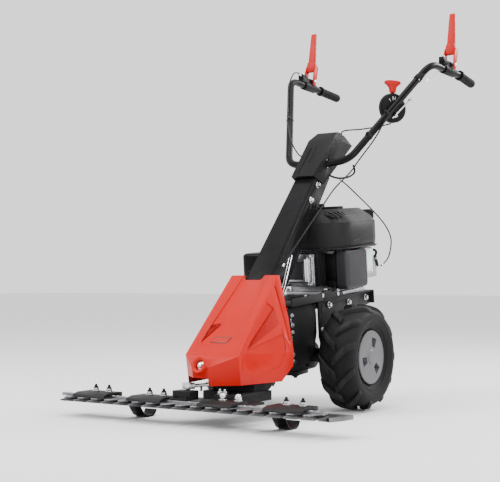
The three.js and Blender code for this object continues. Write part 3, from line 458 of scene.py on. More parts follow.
def make_plate():
    """A blank dark plate, sheared like a parallelogram, on the sloping face."""
    slope = Vector((0, -265 + 482, 415 - 188)).normalized()
    outward = Vector((0, -slope.z, slope.y))
    middle = Vector((0, -482, 188)) + slope * 60 + Vector((2, 0, 0))
    bm = bmesh.new()
    outline = [(-33, -11), (24, -11), (33, 11), (-24, 11)]
    add_plate(bm, outline, 0, 0.5, "xy", 0.2)
    frame_inner = [(x * 0.9, y * 0.74) for x, y in outline]
    add_plate(bm, frame_inner, 0.45, 0.8, "xy", 0.1, material=1)
    turn = Matrix((Vector((1, 0, 0)), slope, outward)).transposed().to_4x4()
    spot = middle - outward * 2.25
    bmesh.ops.transform(bm, matrix=Matrix.Translation(spot) @ turn, verts=bm.verts)
    piece("blank_plate", bm, ["black_print", "moulded_red"], "black_plastic")


class MOWER_OT_front_cover(bpy.types.Operator):
    """Moulded red cover over the knife drive, with its screw and plate"""

    bl_idname = "mower.front_cover"
    bl_label = "Front cover"

    def execute(self, context):
        bm = merged_copy("front_cover")
        width = context.scene.mower_edges.cover_edge
        round_edges(bm, sharp_edges(bm, 22, 0.02), width, 3)
        piece("front_cover_moulding", bm, "moulded_red", "red_shell", "front_cover",
            place=Matrix(), sharp=50)
        make_screw()
        make_plate()
        return {"FINISHED"}


# ---------- transmission, frame and belt drive ----------
def make_inner_shield():
    """Sheet behind the belt guard that closes the view to the belt."""
    bm = bmesh.new()
    outline = [(-196, 190), (-60, 200), (-40, 230), (-40, 336), (-196, 336)]
    add_plate(bm, outline, 86, 88, "yz", 0.6)
    piece("inner_shield", bm, "cast_black", "black_steel", place=DECK)


def make_frame_bolts():
    bm = bmesh.new()
    for x, y in ((60, -46), (96, -150), (96, 60), (-60, -46), (-96, -150), (-96, 60)):
        add_hex_bolt(bm, (x, y, 344), (0, 0, 1), 15, 8, stud=5)
    for side in (1, -1):
        for y, z in ((20, 322), (150, 318), (270, 322)):
            add_hex_bolt(bm, (105 * side, y, z), (side, 0, 0), 13, 7)
        for y, z in ((-30, 250), (25, 180), (-22, 160)):
            add_hex_bolt(bm, (105 * side, y, z), (side, 0, 0), 11, 6)
    piece("frame_bolts", bm, "zinc", "zinc_steel", place=DECK)


def make_deck_lip():
    """Upturned lip along the deck's left edge, with a clamp and its screws."""
    bm = bmesh.new()
    outline = [(-60, 344.3), (-48, 366), (-10, 370), (40, 362), (92, 360), (100, 344.3)]
    add_plate(bm, outline, 113, 116, "yz", 0.8)
    add_box(bm, (88, 8, 344.4), (112.6, 30, 368), 3.0)
    add_rod(bm, (98, 36, 366), (98, 84, 366), 5, sides=20, edge=1.2)
    piece("deck_lip", bm, "cast_black", "black_steel", place=DECK)
    screws = bmesh.new()
    for y, z in ((-36, 357), (62, 354)):
        add_hex_bolt(screws, (116, y, z), (1, 0, 0), 8, 1.6)
    add_rod(screws, (99, 14, 368), (99, 14, 374), 5, sides=6, edge=0.7)
    piece("deck_lip_screws", screws, "zinc", "zinc_steel", place=DECK)


def make_guard_fasteners():
    bm = bmesh.new()
    for z in (312, 284, 262, 196, 176):
        add_hex_bolt(bm, (100, -200, z), (1, 0, 0), 9, 4)
    for z0, z1 in ((292, 304), (214, 252)):
        add_box(bm, (99.6, -210, z0), (101.4, -203, z1), 0.5)
    piece("guard_fasteners", bm, "zinc", "zinc_steel", place=DECK)


class MOWER_OT_drive(bpy.types.Operator):
    """Gear case, axle, belt drive and the steel frame under the engine"""

    bl_idname = "mower.drive"
    bl_label = "Drive and frame"

    def execute(self, context):
        edge = context.scene.mower_edges.sheet_edge
        dressed("gear_case", "cast_black", "black_cast", 0.0015)
        dressed("sump_cover", "cast_black", "black_cast", 0.0008)
        dressed("axle", "zinc", "zinc_steel", 0.0012, body="axle")
        dressed("worm_wheel", "zinc", "zinc_steel", 0.0004, body="axle")
        dressed("input_pulley", "zinc", "zinc_steel", 0.0004, body="input_shaft")
        dressed("engine_pulley", "zinc", "zinc_steel", 0.0004, body="engine_crank")
        dressed("drive_belt", "belt_rubber", "black_rubber", 0.0008)
        dressed("tension_arm", "zinc", "zinc_steel", 0.0005, body="belt_tensioner")
        dressed("belt_guard", "texture_black", "black_plastic", 0.003, 25)
        dressed("engine_frame", "cast_black", "black_steel", edge)
        make_frame_bolts()
        make_guard_fasteners()
        make_inner_shield()
        make_deck_lip()
        return {"FINISHED"}


# ---------- column and console ----------
def make_bolts():
    bm = bmesh.new()
    lean = math.atan2(319, 273)
    for place in (353, 422):
        share = (place + 185) / 685
        half = 49 * (1 - 0.26 * share)
        depth = 28
        y = -243 + place * math.cos(lean) + depth * math.sin(lean)
        z = 406 + place * math.sin(lean) - depth * math.cos(lean)
        for side in (1, -1):
            add_hex_bolt(bm, (side * half, y, z), (side, 0, 0), 13, 6, stud=3)
    piece("column_bolts", bm, "bright_steel", "zinc_steel")


def make_console_plate():
    bm = bmesh.new()
    add_box(bm, (-27, 192, 895.6), (27, 221, 897.6), 0.9)
    piece("console_plate", bm, "pale_print", "grey_plastic")
    frame_bm = bmesh.new()
    add_box(frame_bm, (-32, 188.5, 893), (32, 224, 896.6), 1.6)
    piece("console_bezel", frame_bm, "cable_black", "black_plastic")
    rib = bmesh.new()
    for share in (0.4, 0.8):
        spot = Vector((-5, 20 + 123 * share, 736 + 132 * share))
        add_rod(rib, spot + Vector((0, -0.6, 0.6)), spot + Vector((0, 3, -3)), 2.4, sides=16)
    low, high = (Vector((-5, 20 + 123 * t - 0.3, 736 + 132 * t + 0.3)) for t in (0.4, 0.8))
    add_swept(rib, [low, high], 1.6, 4)
    piece("console_rib", rib, "cable_black", "black_plastic")


def make_pull_wires():
    bm = bmesh.new()
    for shift in (0, 9):
        path = smooth_path([(56 + shift, -150, 476), (56.5 + shift, -176, 420), (57 + shift, -200,
            372), (57 + shift, -214, 350)], 6)
        add_swept(bm, path, 1.3, 3)
    piece("pull_wires", bm, "bright_steel", "zinc_steel")


class MOWER_OT_column(bpy.types.Operator):
    """Sloping steel column with the console cover at its top"""

    bl_idname = "mower.column"
    bl_label = "Column and console"

    def execute(self, context):
        dressed("column", "powder_black", "black_steel", 0.0012, 25, 2)
        dressed("console_cover", "texture_black", "black_plastic", 0.0022, 22, 3)
        make_bolts()
        make_console_plate()
        make_pull_wires()
        return {"FINISHED"}


# ---------- handlebars, grips, levers and selector ----------
HANDLE_CORNERS = [(3.4, 98.6, 777.8), (113, 125, 791), (278, 411, 1139), (286, 640, 1135), (281,
    767, 1125)]
HANDLE_BENDS = [40, 48, 12]


def mirrored(side, point):
    return Vector((point[0] * side, point[1], point[2]))


def handle_path(side):
    corners = [mirrored(side, c) for c in HANDLE_CORNERS]
    path = [corners[0]]
    for before, corner, after, bend in zip(corners, corners[1:], corners[2:], HANDLE_BENDS):
        enter = corner + (before - corner).normalized() * bend
        leave = corner + (after - corner).normalized() * bend
        for i in range(11):
            t = i / 10
            path.append(enter * (1 - t) ** 2 + corner * 2 * t * (1 - t) + leave * t * t)
    return path + [corners[-1]]


def make_grip(side, word):
    start = mirrored(side, HANDLE_CORNERS[3])
    end = mirrored(side, HANDLE_CORNERS[4])
    run = end - start
    length = run.length * 1.034
    profile = [(12.6, 0), (18.3, 0), (18.5, 1.5), (18.5, 6.5), (17.4, 8.6), (15.2, 9.4)]
    ribs = 22
    span = (length - 26) / ribs
    for i in range(ribs):
        h = 10.5 + i * span
        profile += [(14.7, h), (15.5, h + 0.25 * span), (15.5, h + 0.65 * span), (14.7,
            h + 0.85 * span)]
    profile += [(15.4, length - 14), (15.5, length - 4), (14.2, length - 0.8), (9, length), (0,
        length - 0.4)]
    bm = bmesh.new()
    turn = run.to_track_quat("Z", "Y").to_matrix().to_4x4()
    add_turned(bm, profile, Matrix.Translation(start) @ turn, 40)
    piece("grip_ribbed_" + word, bm, "grip_rubber", "black_rubber", "grip_" + word)


def make_clips(side, word):
    """Cable clips strapped round the tube."""
    low, high = mirrored(side, HANDLE_CORNERS[1]), mirrored(side, HANDLE_CORNERS[2])
    run = (high - low).normalized()
    bm = bmesh.new()
    for share in ((0.5,) if side < 0 else (0.24, 0.46)):
        middle = low.lerp(high, share)
        add_rod(bm, middle - run * 5, middle + run * 5, 13.2, sides=32, edge=1.0)
        tie = middle + Vector((0, -15, 12)).normalized() * 15
        add_rod(bm, tie - run * 4, tie + run * 4, 4.6, sides=20, edge=0.8)
    piece("cable_clips_" + word, bm, "cable_black", "black_plastic")


def make_lever(side, word):
    x = side * 283.45
    bm = bmesh.new()
    cheek = [(549, 1147), (560, 1141), (571, 1148), (579, 1180), (588, 1212), (580, 1221), (566,
        1218), (552, 1184)]
    for low, high in ((17.4, 21.4), (-21.4, -17.4)):
        add_plate(bm, cheek, x + low, x + high, "yz", 1.2)
    yoke = [(x - 21.3, 1197), (x + 21.3, 1197), (x + 20.6, 1214), (x + 15.2, 1236), (x - 15.2,
        1236), (x - 20.6, 1214)]
    add_plate(bm, yoke, 566, 583, "xz", 3.2, 3)
    blade = bmesh.ops.create_cube(bm, size=1.0)["verts"]
    for v in blade:
        top = v.co.z > 0
        v.co = Vector((x + (10.5 if top else 15.4) * (1 if v.co.x > 0 else -1),
            (592 if top else 575.5) + (5.2 if top else 6.4) * (1 if v.co.y > 0 else -1),
            1348 if top else 1222))
    round_edges(bm, all_edges(blade), 3.4, 4)
    name = "lever_" + word
    piece("lever_blade_" + word, bm, "lever_red", "red_plastic", name, body=name)


def make_pivot(side, word):
    x = side * 283.45
    bm = bmesh.new()
    for end in (1, -1):
        add_rod(bm, (x + end * 21.6, 560, 1157), (x + end * 25.6, 560, 1157), 6.2, 5.2, 24, 0.9)
    add_hex_bolt(bm, (x, 505, 1175.6), (0, 0, 1), 9, 5)
    piece("lever_pin_ends_" + word, bm, "bright_steel", "zinc_steel")
    spring = bmesh.new()
    turns = [(x - 12 + i * 0.18, 560 + 9.5 * math.cos(i * 0.6),
        1157 + 9.5 * math.sin(i * 0.6)) for i in range(60)]
    add_swept(spring, [Vector(p) for p in turns], 0.9, 2)
    piece("lever_spring_" + word, spring, "zinc", "zinc_steel")


class MOWER_OT_handlebars(bpy.types.Operator):
    """Handlebar tubes with ribbed grips, levers and their brackets"""

    bl_idname = "mower.handlebars"
    bl_label = "Handlebars and levers"

    def execute(self, context):
        for side, word in ((1, "left"), (-1, "right")):
            bm = bmesh.new()
            add_swept(bm, handle_path(side), 12, 8)
            piece("handlebar_tube_" + word, bm, "powder_black", "black_steel", "handlebar_" + word)
            make_grip(side, word)
            make_clips(side, word)
            dressed("lever_bracket_" + word, "texture_black", "black_plastic", 0.0012, 30)
            make_lever(side, word)
            make_pivot(side, word)
        return {"FINISHED"}


def selector_place():
    return (LEVEL @ Matrix.Translation((188, 300, 979)) @ Matrix.Rotation(math.atan2(-0.502,
        0.865), 4, "Z"))


def make_dial():
    bm = merged_copy("selector_housing")
    round_edges(bm, sharp_edges(bm, 38, 0.003), 0.0012, 2)
    piece("selector_dial", bm, "texture_black", "black_plastic", "selector_housing",
        place=Matrix(), sharp=40)
    ring = bmesh.new()
    profile = [(44.4, 9.05), (47.6, 7.2), (49.9, 5.2), (50.0, 4.6), (47.2, 6.4), (44.2, 8.4),
        (44.4, 9.05)]
    add_turned(ring, profile, ACROSS, 72)
    piece("selector_ring", ring, "powder_black", "black_plastic", place=selector_place())


def make_marks():
    """The gear marks: one, neutral and reverse."""
    bm = bmesh.new()
    for word, angle, size in (("1", 34, 15), ("N", 0, 19), ("R", -34, 15)):
        text = bpy.data.curves.new("mark", "FONT")
        text.body = word
        text.size = size
        text.extrude = 0.35
        text.align_x = text.align_y = "CENTER"
        turn = (about("X", angle) @ Matrix.Translation((9.35, 0, 30))
            @ about("Z", 90) @ about("X", 90))
        take_curve(bm, text, turn)
    piece("selector_marks", bm, "pale_print", "grey_plastic", place=selector_place())


def make_knob():
    bm = bmesh.new()
    add_plate(bm, [(-6, 0), (-6, 55), (6, 55), (6, 0)], -3.3, 3.3, "yz", 0.6)
    add_rod(bm, (-9.8, 0, 0), (9.6, 0, 0), 4.9, sides=24, edge=0.5)
    outline = [(-9, 52), (-10.5, 62), (-13, 70), (-21, 77), (-29, 82), (-30.5, 87), (-27, 92),
        (-12, 93.6), (12, 93.6), (27, 92), (30.5, 87), (29, 82), (21, 77), (13, 70), (10.5, 62),
        (9, 52)]
    add_plate(bm, outline, -7.6, 7.6, "yz", 4.2, 4)
    piece("selector_tee", bm, "lever_red", "red_plastic", "selector_knob",
        place=selector_place(), sharp=50, body="selector")


def make_link():
    """Link rod along the tube with its two bolts, and the stop that holds the cable end."""
    bm = bmesh.new()
    low, high = Vector((214, 262, 945)), Vector((234, 333, 1006))
    run = (high - low).normalized()
    add_swept(bm, [low - run * 12, low, high, high + run * 14], 2.6, 4)
    for spot in (low, high):
        add_rod(bm, spot + Vector((-1, 0, 0)), spot + Vector((9, -4, 0)), 5.4, sides=6, edge=0.6)
    piece("selector_link", bm, "bright_steel", "zinc_steel")
    stop = bmesh.new()
    start = mirrored(1, HANDLE_CORNERS[1]).lerp(mirrored(1, HANDLE_CORNERS[2]), 0.84)
    along = (mirrored(1, HANDLE_CORNERS[2]) - mirrored(1, HANDLE_CORNERS[1])).normalized()
    add_rod(stop, start - along * 8, start + along * 8, 14.2, sides=36, edge=1.2)
    arm = start + Vector((15, -8.7, 0))
    add_rod(stop, arm - along * 11, arm + along * 15, 6.6, sides=28, edge=1.4)
    piece("cable_stop", stop, "texture_black", "black_plastic")


class MOWER_OT_selector(bpy.types.Operator):
    """Gear selector on the left handlebar: dial, knob, link rod and cable stop"""

    bl_idname = "mower.selector"
    bl_label = "Gear selector"

    def execute(self, context):
        make_dial()
        make_marks()
        make_knob()
        make_link()
        return {"FINISHED"}


# ---------- cables ----------
def off_tube(share, side, shift):
    low, high = HANDLE_CORNERS[1], HANDLE_CORNERS[2]
    spot = [a + (b - a) * share for a, b in zip(low, high)]
    return (spot[0] * side + shift[0], spot[1] + shift[1], spot[2] + shift[2])


ABOVE = (0, -15, 12)
OUTER = (15, -8.7, 0)
CABLES = {"clutch_cable": [(-279, 486, 1169), (-279, 462, 1176), (-278, 426, 1164), off_tube(0.86,
    -1, ABOVE), off_tube(0.6, -1, ABOVE), off_tube(0.46, -1, ABOVE), (-128, 160, 882), (-82, 128,
    828), (-40, 102, 806)], "drive_cable": [off_tube(0.84, 1, OUTER), off_tube(0.6, 1, OUTER),
    off_tube(0.42, 1, OUTER), off_tube(0.26, 1, (12, 10, -12)), (118, 190, 798), (94, 174, 758),
    (80, 90, 697), (76, 10, 630), (74, -80, 556), (68, -160, 484), (64, -205, 440)],
    "throttle_cable": [(22, 228, 746), (50, 275, 705), (80, 373, 638), (92, 440, 590), (98, 468,
    545), (104, 440, 490), (109, 392, 462), (109, 366, 452)], "selector_cable": [(34, 220, 885),
    (36, 236, 906), (90, 268, 912), (150, 278, 918), (184, 294, 926.4)],}


class MOWER_OT_cables(bpy.types.Operator):
    """Control cables along their real routes, with end ferrules"""

    bl_idname = "mower.cables"
    bl_label = "Control cables"

    def execute(self, context):
        radius = context.scene.mower_edges.cable_radius * 1000
        for name, route in CABLES.items():
            bm = bmesh.new()
            add_swept(bm, smooth_path(route, 10), radius, 4)
            piece(name + "_sheath", bm, "cable_black", "black_rubber", name)
        ends = bmesh.new()
        for a, b in ((0, 1), (-1, -2)):
            for name in ("clutch_cable", "drive_cable", "throttle_cable"):
                route = CABLES[name]
                start, towards = Vector(route[a]), Vector(route[b])
                step = (towards - start).normalized()
                low, high = start + step * 0.5, start + step * 13
                add_rod(ends, low, high, radius + 1.1, sides=20, edge=0.6)
        piece("cable_ferrules", ends, "zinc", "zinc_steel")
        wire = bmesh.new()
        start = Vector(CABLES["drive_cable"][0])
        add_swept(wire, smooth_path([start, (262, 420, 1086), (277, 486, 1128), (283, 520, 1152)],
            6), 0.9, 2)
        piece("lever_wire", wire, "bright_steel", "zinc_steel")
        return {"FINISHED"}


# ---------- engine ----------
def make_filter_cover():
    bm = bmesh.new()
    outline = rounded((166, 426), 75.5, 62.5, 16, 6)
    add_plate(bm, outline, 101.2, 134.6, "yz", 0)
    front = max(bm.faces, key=lambda f: f.calc_center_median().x)
    round_edges(bm, front.edges, 7, 5)
    add_plate(bm, rounded((166, 426), 76.5, 63.5, 17, 6), 100.6, 104.5, "yz", 1.2)
    piece("air_filter_lid", bm, "filter_grey", "filter_grey", "air_filter_cover",
        place=DECK, sharp=40)
    ribs = bmesh.new()
    for y in (100, 106, 112):
        add_box(ribs, (130, y, 376), (135.2, y + 2.2, 476), 1.0)
    piece("air_filter_ribs", ribs, "filter_grey", "filter_grey", place=DECK)


def make_head():
    bm = bmesh.new()
    add_box(bm, (-50, 30, 380), (50, 39.7, 482), 2.0)
    add_box(bm, (-46, 26, 384), (46, 31, 478), 1.5)
    add_box(bm, (-38, 12, 390), (38, 27, 472), 5.0, 3)
    add_box(bm, (-34, 4.2, 394), (34, 13, 468), 3.5, 3)
    screws = bmesh.new()
    for x in (43, -43):
        for z in (386, 476):
            add_rod(bm, (x, 30, z), (x, 15, z), 7.5, 6.8, 24, 0.8)
            add_rod(screws, (x, 15.5, z), (x, 9.4, z), 5.0, sides=6, edge=0.7)
    piece("valve_cover_casting", bm, "machined_alloy", "engine_alloy", "cylinder_head", place=DECK)
    piece("valve_cover_screws", screws, "bright_steel", "zinc_steel", place=DECK)
    panel = bmesh.new()
    add_box(panel, (-26, 3.9, 402), (26, 5.2, 460), 0.6)
    piece("valve_cover_panel", panel, "filter_grey", "filter_grey", place=DECK)


def make_cap():
    bm = bmesh.new()
    profile = [(20.6, 574), (21.6, 573), (21.6, 584), (23.0, 585), (23.0, 608), (21.8, 611), (17.6,
        612.2), (16.8, 614.6), (14, 615), (0, 615)]
    add_turned(bm, [(r, h - 590) for r, h in profile], Matrix.Translation((94, 328, 590)), 56)
    for i in range(28):
        turn = Matrix.Rotation(i * 2 * math.pi / 28, 4, "Z")
        rib = add_box(bm, (22.2, -1.1, -10), (23.4, 1.1, 10))
        bmesh.ops.transform(bm, matrix=Matrix.Translation((94, 328, 597)) @ turn, verts=rib)
    piece("fuel_cap_ribbed", bm, "texture_black", "black_plastic", "fuel_cap",
        place=DECK, body="fuel_cap")


def make_shroud_details():
    """Seam lip, raised sweep line, vent louvres and screws of the shroud."""
    bm = bmesh.new()
    for inset, z, radius in ((0.6, 577, 1.1), (-1.6, 495.5, 2.2)):
        loop = [(x, y, z) for x, y in rounded((0, 205), 140 - inset - 0.6, 160 - inset - 0.6, 90,
            12)]
        add_swept(bm, [Vector(p) for p in loop + loop[:1]], radius, 3)
    piece("shroud_seam", bm, "shroud_black", "black_plastic", place=DECK)
    sweep = bmesh.new()
    line = smooth_path([(139.4, 136, 516), (139.9, 175, 522), (139.9, 225, 544), (139.5, 272,
        560)], 8)
    add_swept(sweep, line, 1.5, 3)
    piece("shroud_sweep", sweep, "shroud_black", "black_plastic", place=DECK)
    louvres = bmesh.new()
    for i in range(6):
        y = 68 + i * 13
        add_box(louvres, (80, y + 1.0, 596), (117, y + 4.6, 600), 0.7,
            turn=about("Y", 20))
    piece("vent_louvres", louvres, "texture_black", "black_plastic", place=DECK)
    screws = bmesh.new()
    for x, y in ((70, 58), (-60, 58), (-86, 320)):
        add_rod(screws, (x, y, 498), (x, y - 2, 492), 6, sides=6, edge=0.6)
    piece("shroud_screws", screws, "zinc", "zinc_steel", place=DECK)


def make_muffler_guard():
    bm = bmesh.new()
    for z in range(392, 460, 11):
        add_box(bm, (-156, 64, z), (-150.5, 162, z + 4), 1.2)
    for y in (66, 112, 158):
        add_box(bm, (-156.5, y - 3, 388), (-150.2, y + 3, 460), 1.0)
    piece("muffler_guard", bm, "zinc", "zinc_steel", place=DECK)


def make_small_parts():
    """Carburettor body, fuel hose, governor spring and the plug lead."""
    body = bmesh.new()
    add_box(body, (60.5, 91, 392), (97, 105, 478), 3.0)
    add_box(body, (62, 88, 404), (92, 92, 466), 2.0)
    add_box(body, (66, 80, 372), (96, 104, 392), 3.0)
    piece("carburettor_body", body, "texture_black", "black_plastic", place=DECK)
    hose = bmesh.new()
    add_swept(hose, smooth_path([(70, 330, 476), (88, 352, 478), (104, 366, 470), (98, 360, 448),
        (84, 330, 424), (70, 300, 410)], 8), 4.2, 4)
    piece("fuel_hose", hose, "grip_rubber", "black_rubber", place=DECK)
    lead = bmesh.new()
    add_swept(lead, smooth_path([(-88, 46, 492), (-104, 42, 506), (-120, 70, 512), (-112, 110,
        500), (-86, 128, 488)], 8), 3.4, 4)
    piece("plug_lead", lead, "cable_black", "black_rubber", place=DECK)
    spring = bmesh.new()
    coil = [Vector((96 + 4 * math.cos(i * 0.8), 300 + i * 0.35,
        400 + 4 * math.sin(i * 0.8))) for i in range(120)]
    add_swept(spring, coil, 0.7, 2)
    piece("governor_spring", spring, "bright_steel", "zinc_steel", place=DECK)
    bolts = bmesh.new()
    for x, y in ((92, 100), (92, 280), (-92, 100), (-92, 280)):
        add_hex_bolt(bolts, (x, y, 356), (0, 0, 1), 13, 7, stud=3)
    for y, z in ((130, 372), (240, 372)):
        add_hex_bolt(bolts, (84, y, z), (1, 0, 0), 11, 5)
    piece("engine_bolts", bolts, "bright_steel", "zinc_steel", place=DECK)


class MOWER_OT_engine(bpy.types.Operator):
    """Engine with its shroud, filter, cylinder, tank, exhaust and starter"""

    bl_idname = "mower.engine"
    bl_label = "Engine"

    def execute(self, context):
        dressed("engine_shroud", "shroud_black", "black_plastic", 0.004, 24, 3, 45)
        dressed("starter_cover", "texture_black", "black_plastic", 0.001)
        dressed("starter_grip", "cable_black", "black_plastic", 0.0012, body="starter_grip")
        dressed("crankcase", "cast_alloy", "engine_alloy", 0.003)
        dressed("oil_dipstick", "texture_black", "black_plastic", 0.0006, body="oil_dipstick")
        dressed("cylinder_fins", "cast_black", "black_alloy", 0.0006)
        dressed("spark_plug_cap", "grip_rubber", "black_rubber", 0.001)
        dressed("air_filter_base", "texture_black", "black_plastic", 0.002)
        dressed("fuel_tank", "tank_white", "tank_plastic", 0.005, 20, 4)
        dressed("muffler", "powder_black", "black_steel", 0.003)
        dressed("throttle_lever", "powder_black", "black_steel", 0.0004, body="throttle")
        make_filter_cover()
        make_head()
        make_cap()
        make_shroud_details()
        make_muffler_guard()
        make_small_parts()
        return {"FINISHED"}


def rounded(centre, half_a, half_b, radius, steps):
    """Outline of a rectangle with round corners."""
    points = []
    for sa, sb, quarter in ((1, 1, 0), (-1, 1, 1), (-1, -1, 2), (1, -1, 3)):
        for i in range(steps + 1):
            angle = math.pi / 2 * (quarter + i / steps)
            points.append((centre[0] + sa * (half_a - radius) + radius * math.cos(angle),
                centre[1] + sb * (half_b - radius) + radius * math.sin(angle)))
    return points


# ---------- wheels ----------
TYRE_PROFILE = [(80, -37), (83, -42), (92, -48), (104, -55), (116, -60), (128, -61.5), (136, -59),
    (141, -54), (145, -46), (148.5, -32), (150.5, -15), (151, 0), (150.5, 15), (148.5, 32), (145,
    46), (141, 54), (136, 59), (128, 61.5), (116, 60), (104, 55), (92, 48), (83, 42), (80, 37),
    (86, 33), (128, 49), (146, 0), (128, -49), (86, -33), (80, -37)]


def crown(across):
    """Radius of the tyre's tread at a distance from its middle."""
    points = TYRE_PROFILE[5:18]
    across = max(-61.4, min(61.4, across))
    for (r0, a0), (r1, a1) in zip(points, points[1:]):
        if a0 <= across <= a1:
            return r0 + (r1 - r0) * (across - a0) / (a1 - a0)
    return points[-1][0]


def make_tyre(settings, word, place):
    bm = bmesh.new()
    add_turned(bm, TYRE_PROFILE, ACROSS, 96)
    for ring, height in ((119, 60.6), (101, 54.6)):
        add_turned(bm, [(ring - 1.4, height - 1.6), (ring - 0.9, height + 0.4), (ring + 0.9,
            height + 0.6), (ring + 1.4, height - 1.4), (ring - 1.4, height - 1.6)], ACROSS, 96)
    half_width = settings.lug_width * 500
    for i in range(settings.lug_pairs * 2):
        make_lug(bm, 1 if i % 2 else -1, 2 * math.pi * i / (settings.lug_pairs * 2), half_width)
    bmesh.ops.recalc_face_normals(bm, faces=bm.faces)
    bmesh.ops.transform(bm, matrix=place, verts=bm.verts)
    if place.determinant() < 0:
        bmesh.ops.reverse_faces(bm, faces=bm.faces)
    piece("tyre_treaded_" + word, bm, "tyre_rubber", "tyre_rubber",
        "tyre_" + word, place=Matrix(), sharp=36, body=word + "_wheel")


def make_lug(bm, hand, angle, half_width):
    """A bar lug that climbs from the middle of the tread over its shoulder."""
    rows = []
    for step in range(10):
        share = step / 9
        across = hand * (-3 + share * 63)
        fall = 1 - 0.45 * max(0, share - 0.75) / 0.25
        row = []
        for side, lift in ((-1.3, -4), (-1, 12.0 * fall), (1, 12.0 * fall), (1.3, -4)):
            turned = angle + (share * 58 - 29 + side * half_width) / 158
            radius = min(crown(across) + lift, 163)
            spot = (across, math.sin(turned) * radius, math.cos(turned) * radius)
            row.append(bm.verts.new(spot))
        rows.append(row)
    faces = [bm.faces.new((a[i], a[(i + 1) % 4], b[(i + 1) % 4], b[i])) for a, b in zip(rows,
        rows[1:]) for i in range(4)]
    faces += [bm.faces.new(rows[0]), bm.faces.new(rows[-1][::-1])]
    rims = {e for row in (rows[0], rows[-1]) for e in row[1].link_edges if row[2] in e.verts}
    for a, b in zip(rows, rows[1:]):
        for i in (1, 2):
            rims |= {e for e in a[i].link_edges if b[i] in e.verts}
    round_edges(bm, rims, 1.4)


def make_rim(word, place):
    bm = bmesh.new()
    profile = [(13.6, -42), (26, -42), (26, -4), (64, -4), (70, -10), (72, -38), (78, -44), (84,
        -46), (85, -44), (80, -40), (78.6, -36), (78.6, 36), (80, 40), (85, 44), (84, 46), (78,
        44), (72, 38), (70, 6), (64, 1), (26, 1), (26, 36), (13.6, 36), (13.6, -42)]
    add_turned(bm, profile, ACROSS, 72)
    bmesh.ops.transform(bm, matrix=place, verts=bm.verts)
    bmesh.ops.recalc_face_normals(bm, faces=bm.faces)
    piece("rim_pressed_" + word, bm, "powder_black", "black_steel", "rim_" + word,
        place=Matrix(), body=word + "_wheel")


def make_hub_cap(word, place):
    """A smooth disc with three sunken windows round a low boss."""
    bm = merged_copy("hub_cap_" + word)
    round_edges(bm, sharp_edges(bm, 38, 0.002), 0.0012, 3)
    piece("hub_cap_smooth_" + word, bm, "hub_grey", "grey_plastic",
        "hub_cap_" + word, place=Matrix(), sharp=40, body=word + "_wheel")
    wells = bmesh.new()
    for i in range(3):
        turn = about("X", 73 + i * 120)
        outer = [(48.6, 61.5, 15.5), (48.6, 61.5, -15.5), (48.6, 31, -10.5), (48.6, 31, 10.5)]
        inner = [(40, 55, 9.5), (40, 55, -9.5), (40, 38, -6), (40, 38, 6)]
        rows = [[wells.verts.new(turn @ Vector(p)) for p in ring] for ring in (outer, inner)]
        for k in range(4):
            n = (k + 1) % 4
            wells.faces.new((rows[0][k], rows[0][n], rows[1][n], rows[1][k]))
    bmesh.ops.solidify(wells, geom=list(wells.faces), thickness=1.0)
    bmesh.ops.transform(wells, matrix=place, verts=wells.verts)
    bmesh.ops.recalc_face_normals(wells, faces=wells.faces)
    piece("hub_wells_" + word, wells, "hub_grey", "grey_plastic", body=word + "_wheel",
        place=Matrix())


class MOWER_OT_wheels(bpy.types.Operator):
    """Tyres with chevron lugs, steel rims and hub caps"""

    bl_idname = "mower.wheels"
    bl_label = "Wheels"

    def execute(self, context):
        for side, word in ((1, "left"), (-1, "right")):
            place = (LEVEL @ Matrix.Translation((208 * side, 0, AXLE_Z)) @ Matrix.Scale(side, 4,
                (1, 0, 0)))
            make_tyre(context.scene.mower_wheels, word, place)
            make_rim(word, place)
            make_hub_cap(word, place)
        return {"FINISHED"}


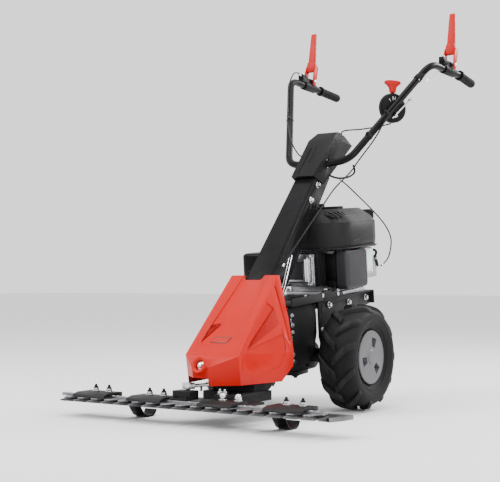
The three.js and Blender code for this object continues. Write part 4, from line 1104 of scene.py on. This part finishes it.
# ---------- stage ----------
class MOWER_OT_stage(bpy.types.Operator):
    """Pale floor, soft lights and the camera"""

    bl_idname = "mower.stage"
    bl_label = "Stage"

    def execute(self, context):
        scene = context.scene
        bm = bmesh.new()
        bmesh.ops.create_grid(bm, x_segments=2, y_segments=2, size=30)
        mesh = bpy.data.meshes.new("floor")
        bm.to_mesh(mesh)
        bm.free()
        floor = bpy.data.objects.new("floor", mesh)
        material, nodes, _ = new_tree("floor_white")
        nodes["Principled BSDF"].inputs["Base Color"].default_value = (0.80, 0.80, 0.80, 1)
        nodes["Principled BSDF"].inputs["Roughness"].default_value = 0.9
        mesh.materials.append(material)
        scene.collection.objects.link(floor)

        world = bpy.data.worlds.new("studio")
        world.use_nodes = True
        world.node_tree.nodes["Background"].inputs["Color"].default_value = (1, 1, 1, 1)
        world.node_tree.nodes["Background"].inputs["Strength"].default_value = 1.5
        scene.world = world
        for name, spot, size, power in (("key", (-1.9, -2.6, 2.9), 1.6, 110), ("fill", (3.2, -1.2,
                1.6), 1.2, 60), ("rim", (1.4, 2.6, 2.4), 1.2, 90), ("top", (0.2, -0.2, 3.2), 1.8,
                60),):
            light = bpy.data.lights.new(name, "AREA")
            light.energy = power
            light.size = size
            lamp = bpy.data.objects.new(name, light)
            lamp.location = spot
            aim = Vector((0, 0, 0.5)) - Vector(spot)
            lamp.rotation_euler = aim.to_track_quat("-Z", "Y").to_euler()
            scene.collection.objects.link(lamp)

        lens = bpy.data.cameras.new("camera")
        lens.lens = 76.6
        lens.sensor_width = 36
        camera = bpy.data.objects.new("camera", lens)
        camera.location = (1.744, -3.000, 0.390)
        camera.rotation_euler = Vector((-0.550, 0.834, 0.040)).to_track_quat("-Z", "Y").to_euler()
        scene.collection.objects.link(camera)
        scene.camera = camera
        return {"FINISHED"}


PIECES = (MOWER_OT_cutter_bar, MOWER_OT_front_cover, MOWER_OT_drive, MOWER_OT_column,
    MOWER_OT_handlebars, MOWER_OT_selector, MOWER_OT_cables, MOWER_OT_engine, MOWER_OT_wheels,
    MOWER_OT_stage)


class MOWER_PT_sidebar(bpy.types.Panel):
    """Lists the mower's pieces and settings"""

    bl_idname = "MOWER_PT_sidebar"
    bl_label = "Brush mower"
    bl_space_type = "VIEW_3D"
    bl_region_type = "UI"
    bl_category = "Mower"

    def draw(self, context):
        for settings in (context.scene.mower_wheels, context.scene.mower_colours,
                context.scene.mower_edges):
            for field in settings.__annotations__:
                self.layout.prop(settings, field)
        for operator in PIECES:
            self.layout.operator(operator.bl_idname)


CLASSES = (MowerWheelSettings, MowerColourSettings, MowerEdgeSettings, *PIECES, MOWER_PT_sidebar)


def register():
    for item in CLASSES:
        bpy.utils.register_class(item)
    bpy.types.Scene.mower_wheels = PointerProperty(type=MowerWheelSettings)
    bpy.types.Scene.mower_colours = PointerProperty(type=MowerColourSettings)
    bpy.types.Scene.mower_edges = PointerProperty(type=MowerEdgeSettings)


def unregister():
    del bpy.types.Scene.mower_edges
    del bpy.types.Scene.mower_colours
    del bpy.types.Scene.mower_wheels
    for item in reversed(CLASSES):
        bpy.utils.unregister_class(item)


def main():
    register()
    make_finishes()
    for operator in PIECES:
        group, name = operator.bl_idname.split(".")
        if getattr(getattr(bpy.ops, group), name)() != {"FINISHED"}:
            raise RuntimeError(operator.bl_label + " was not finished")


if __name__ == "__main__":
    main()
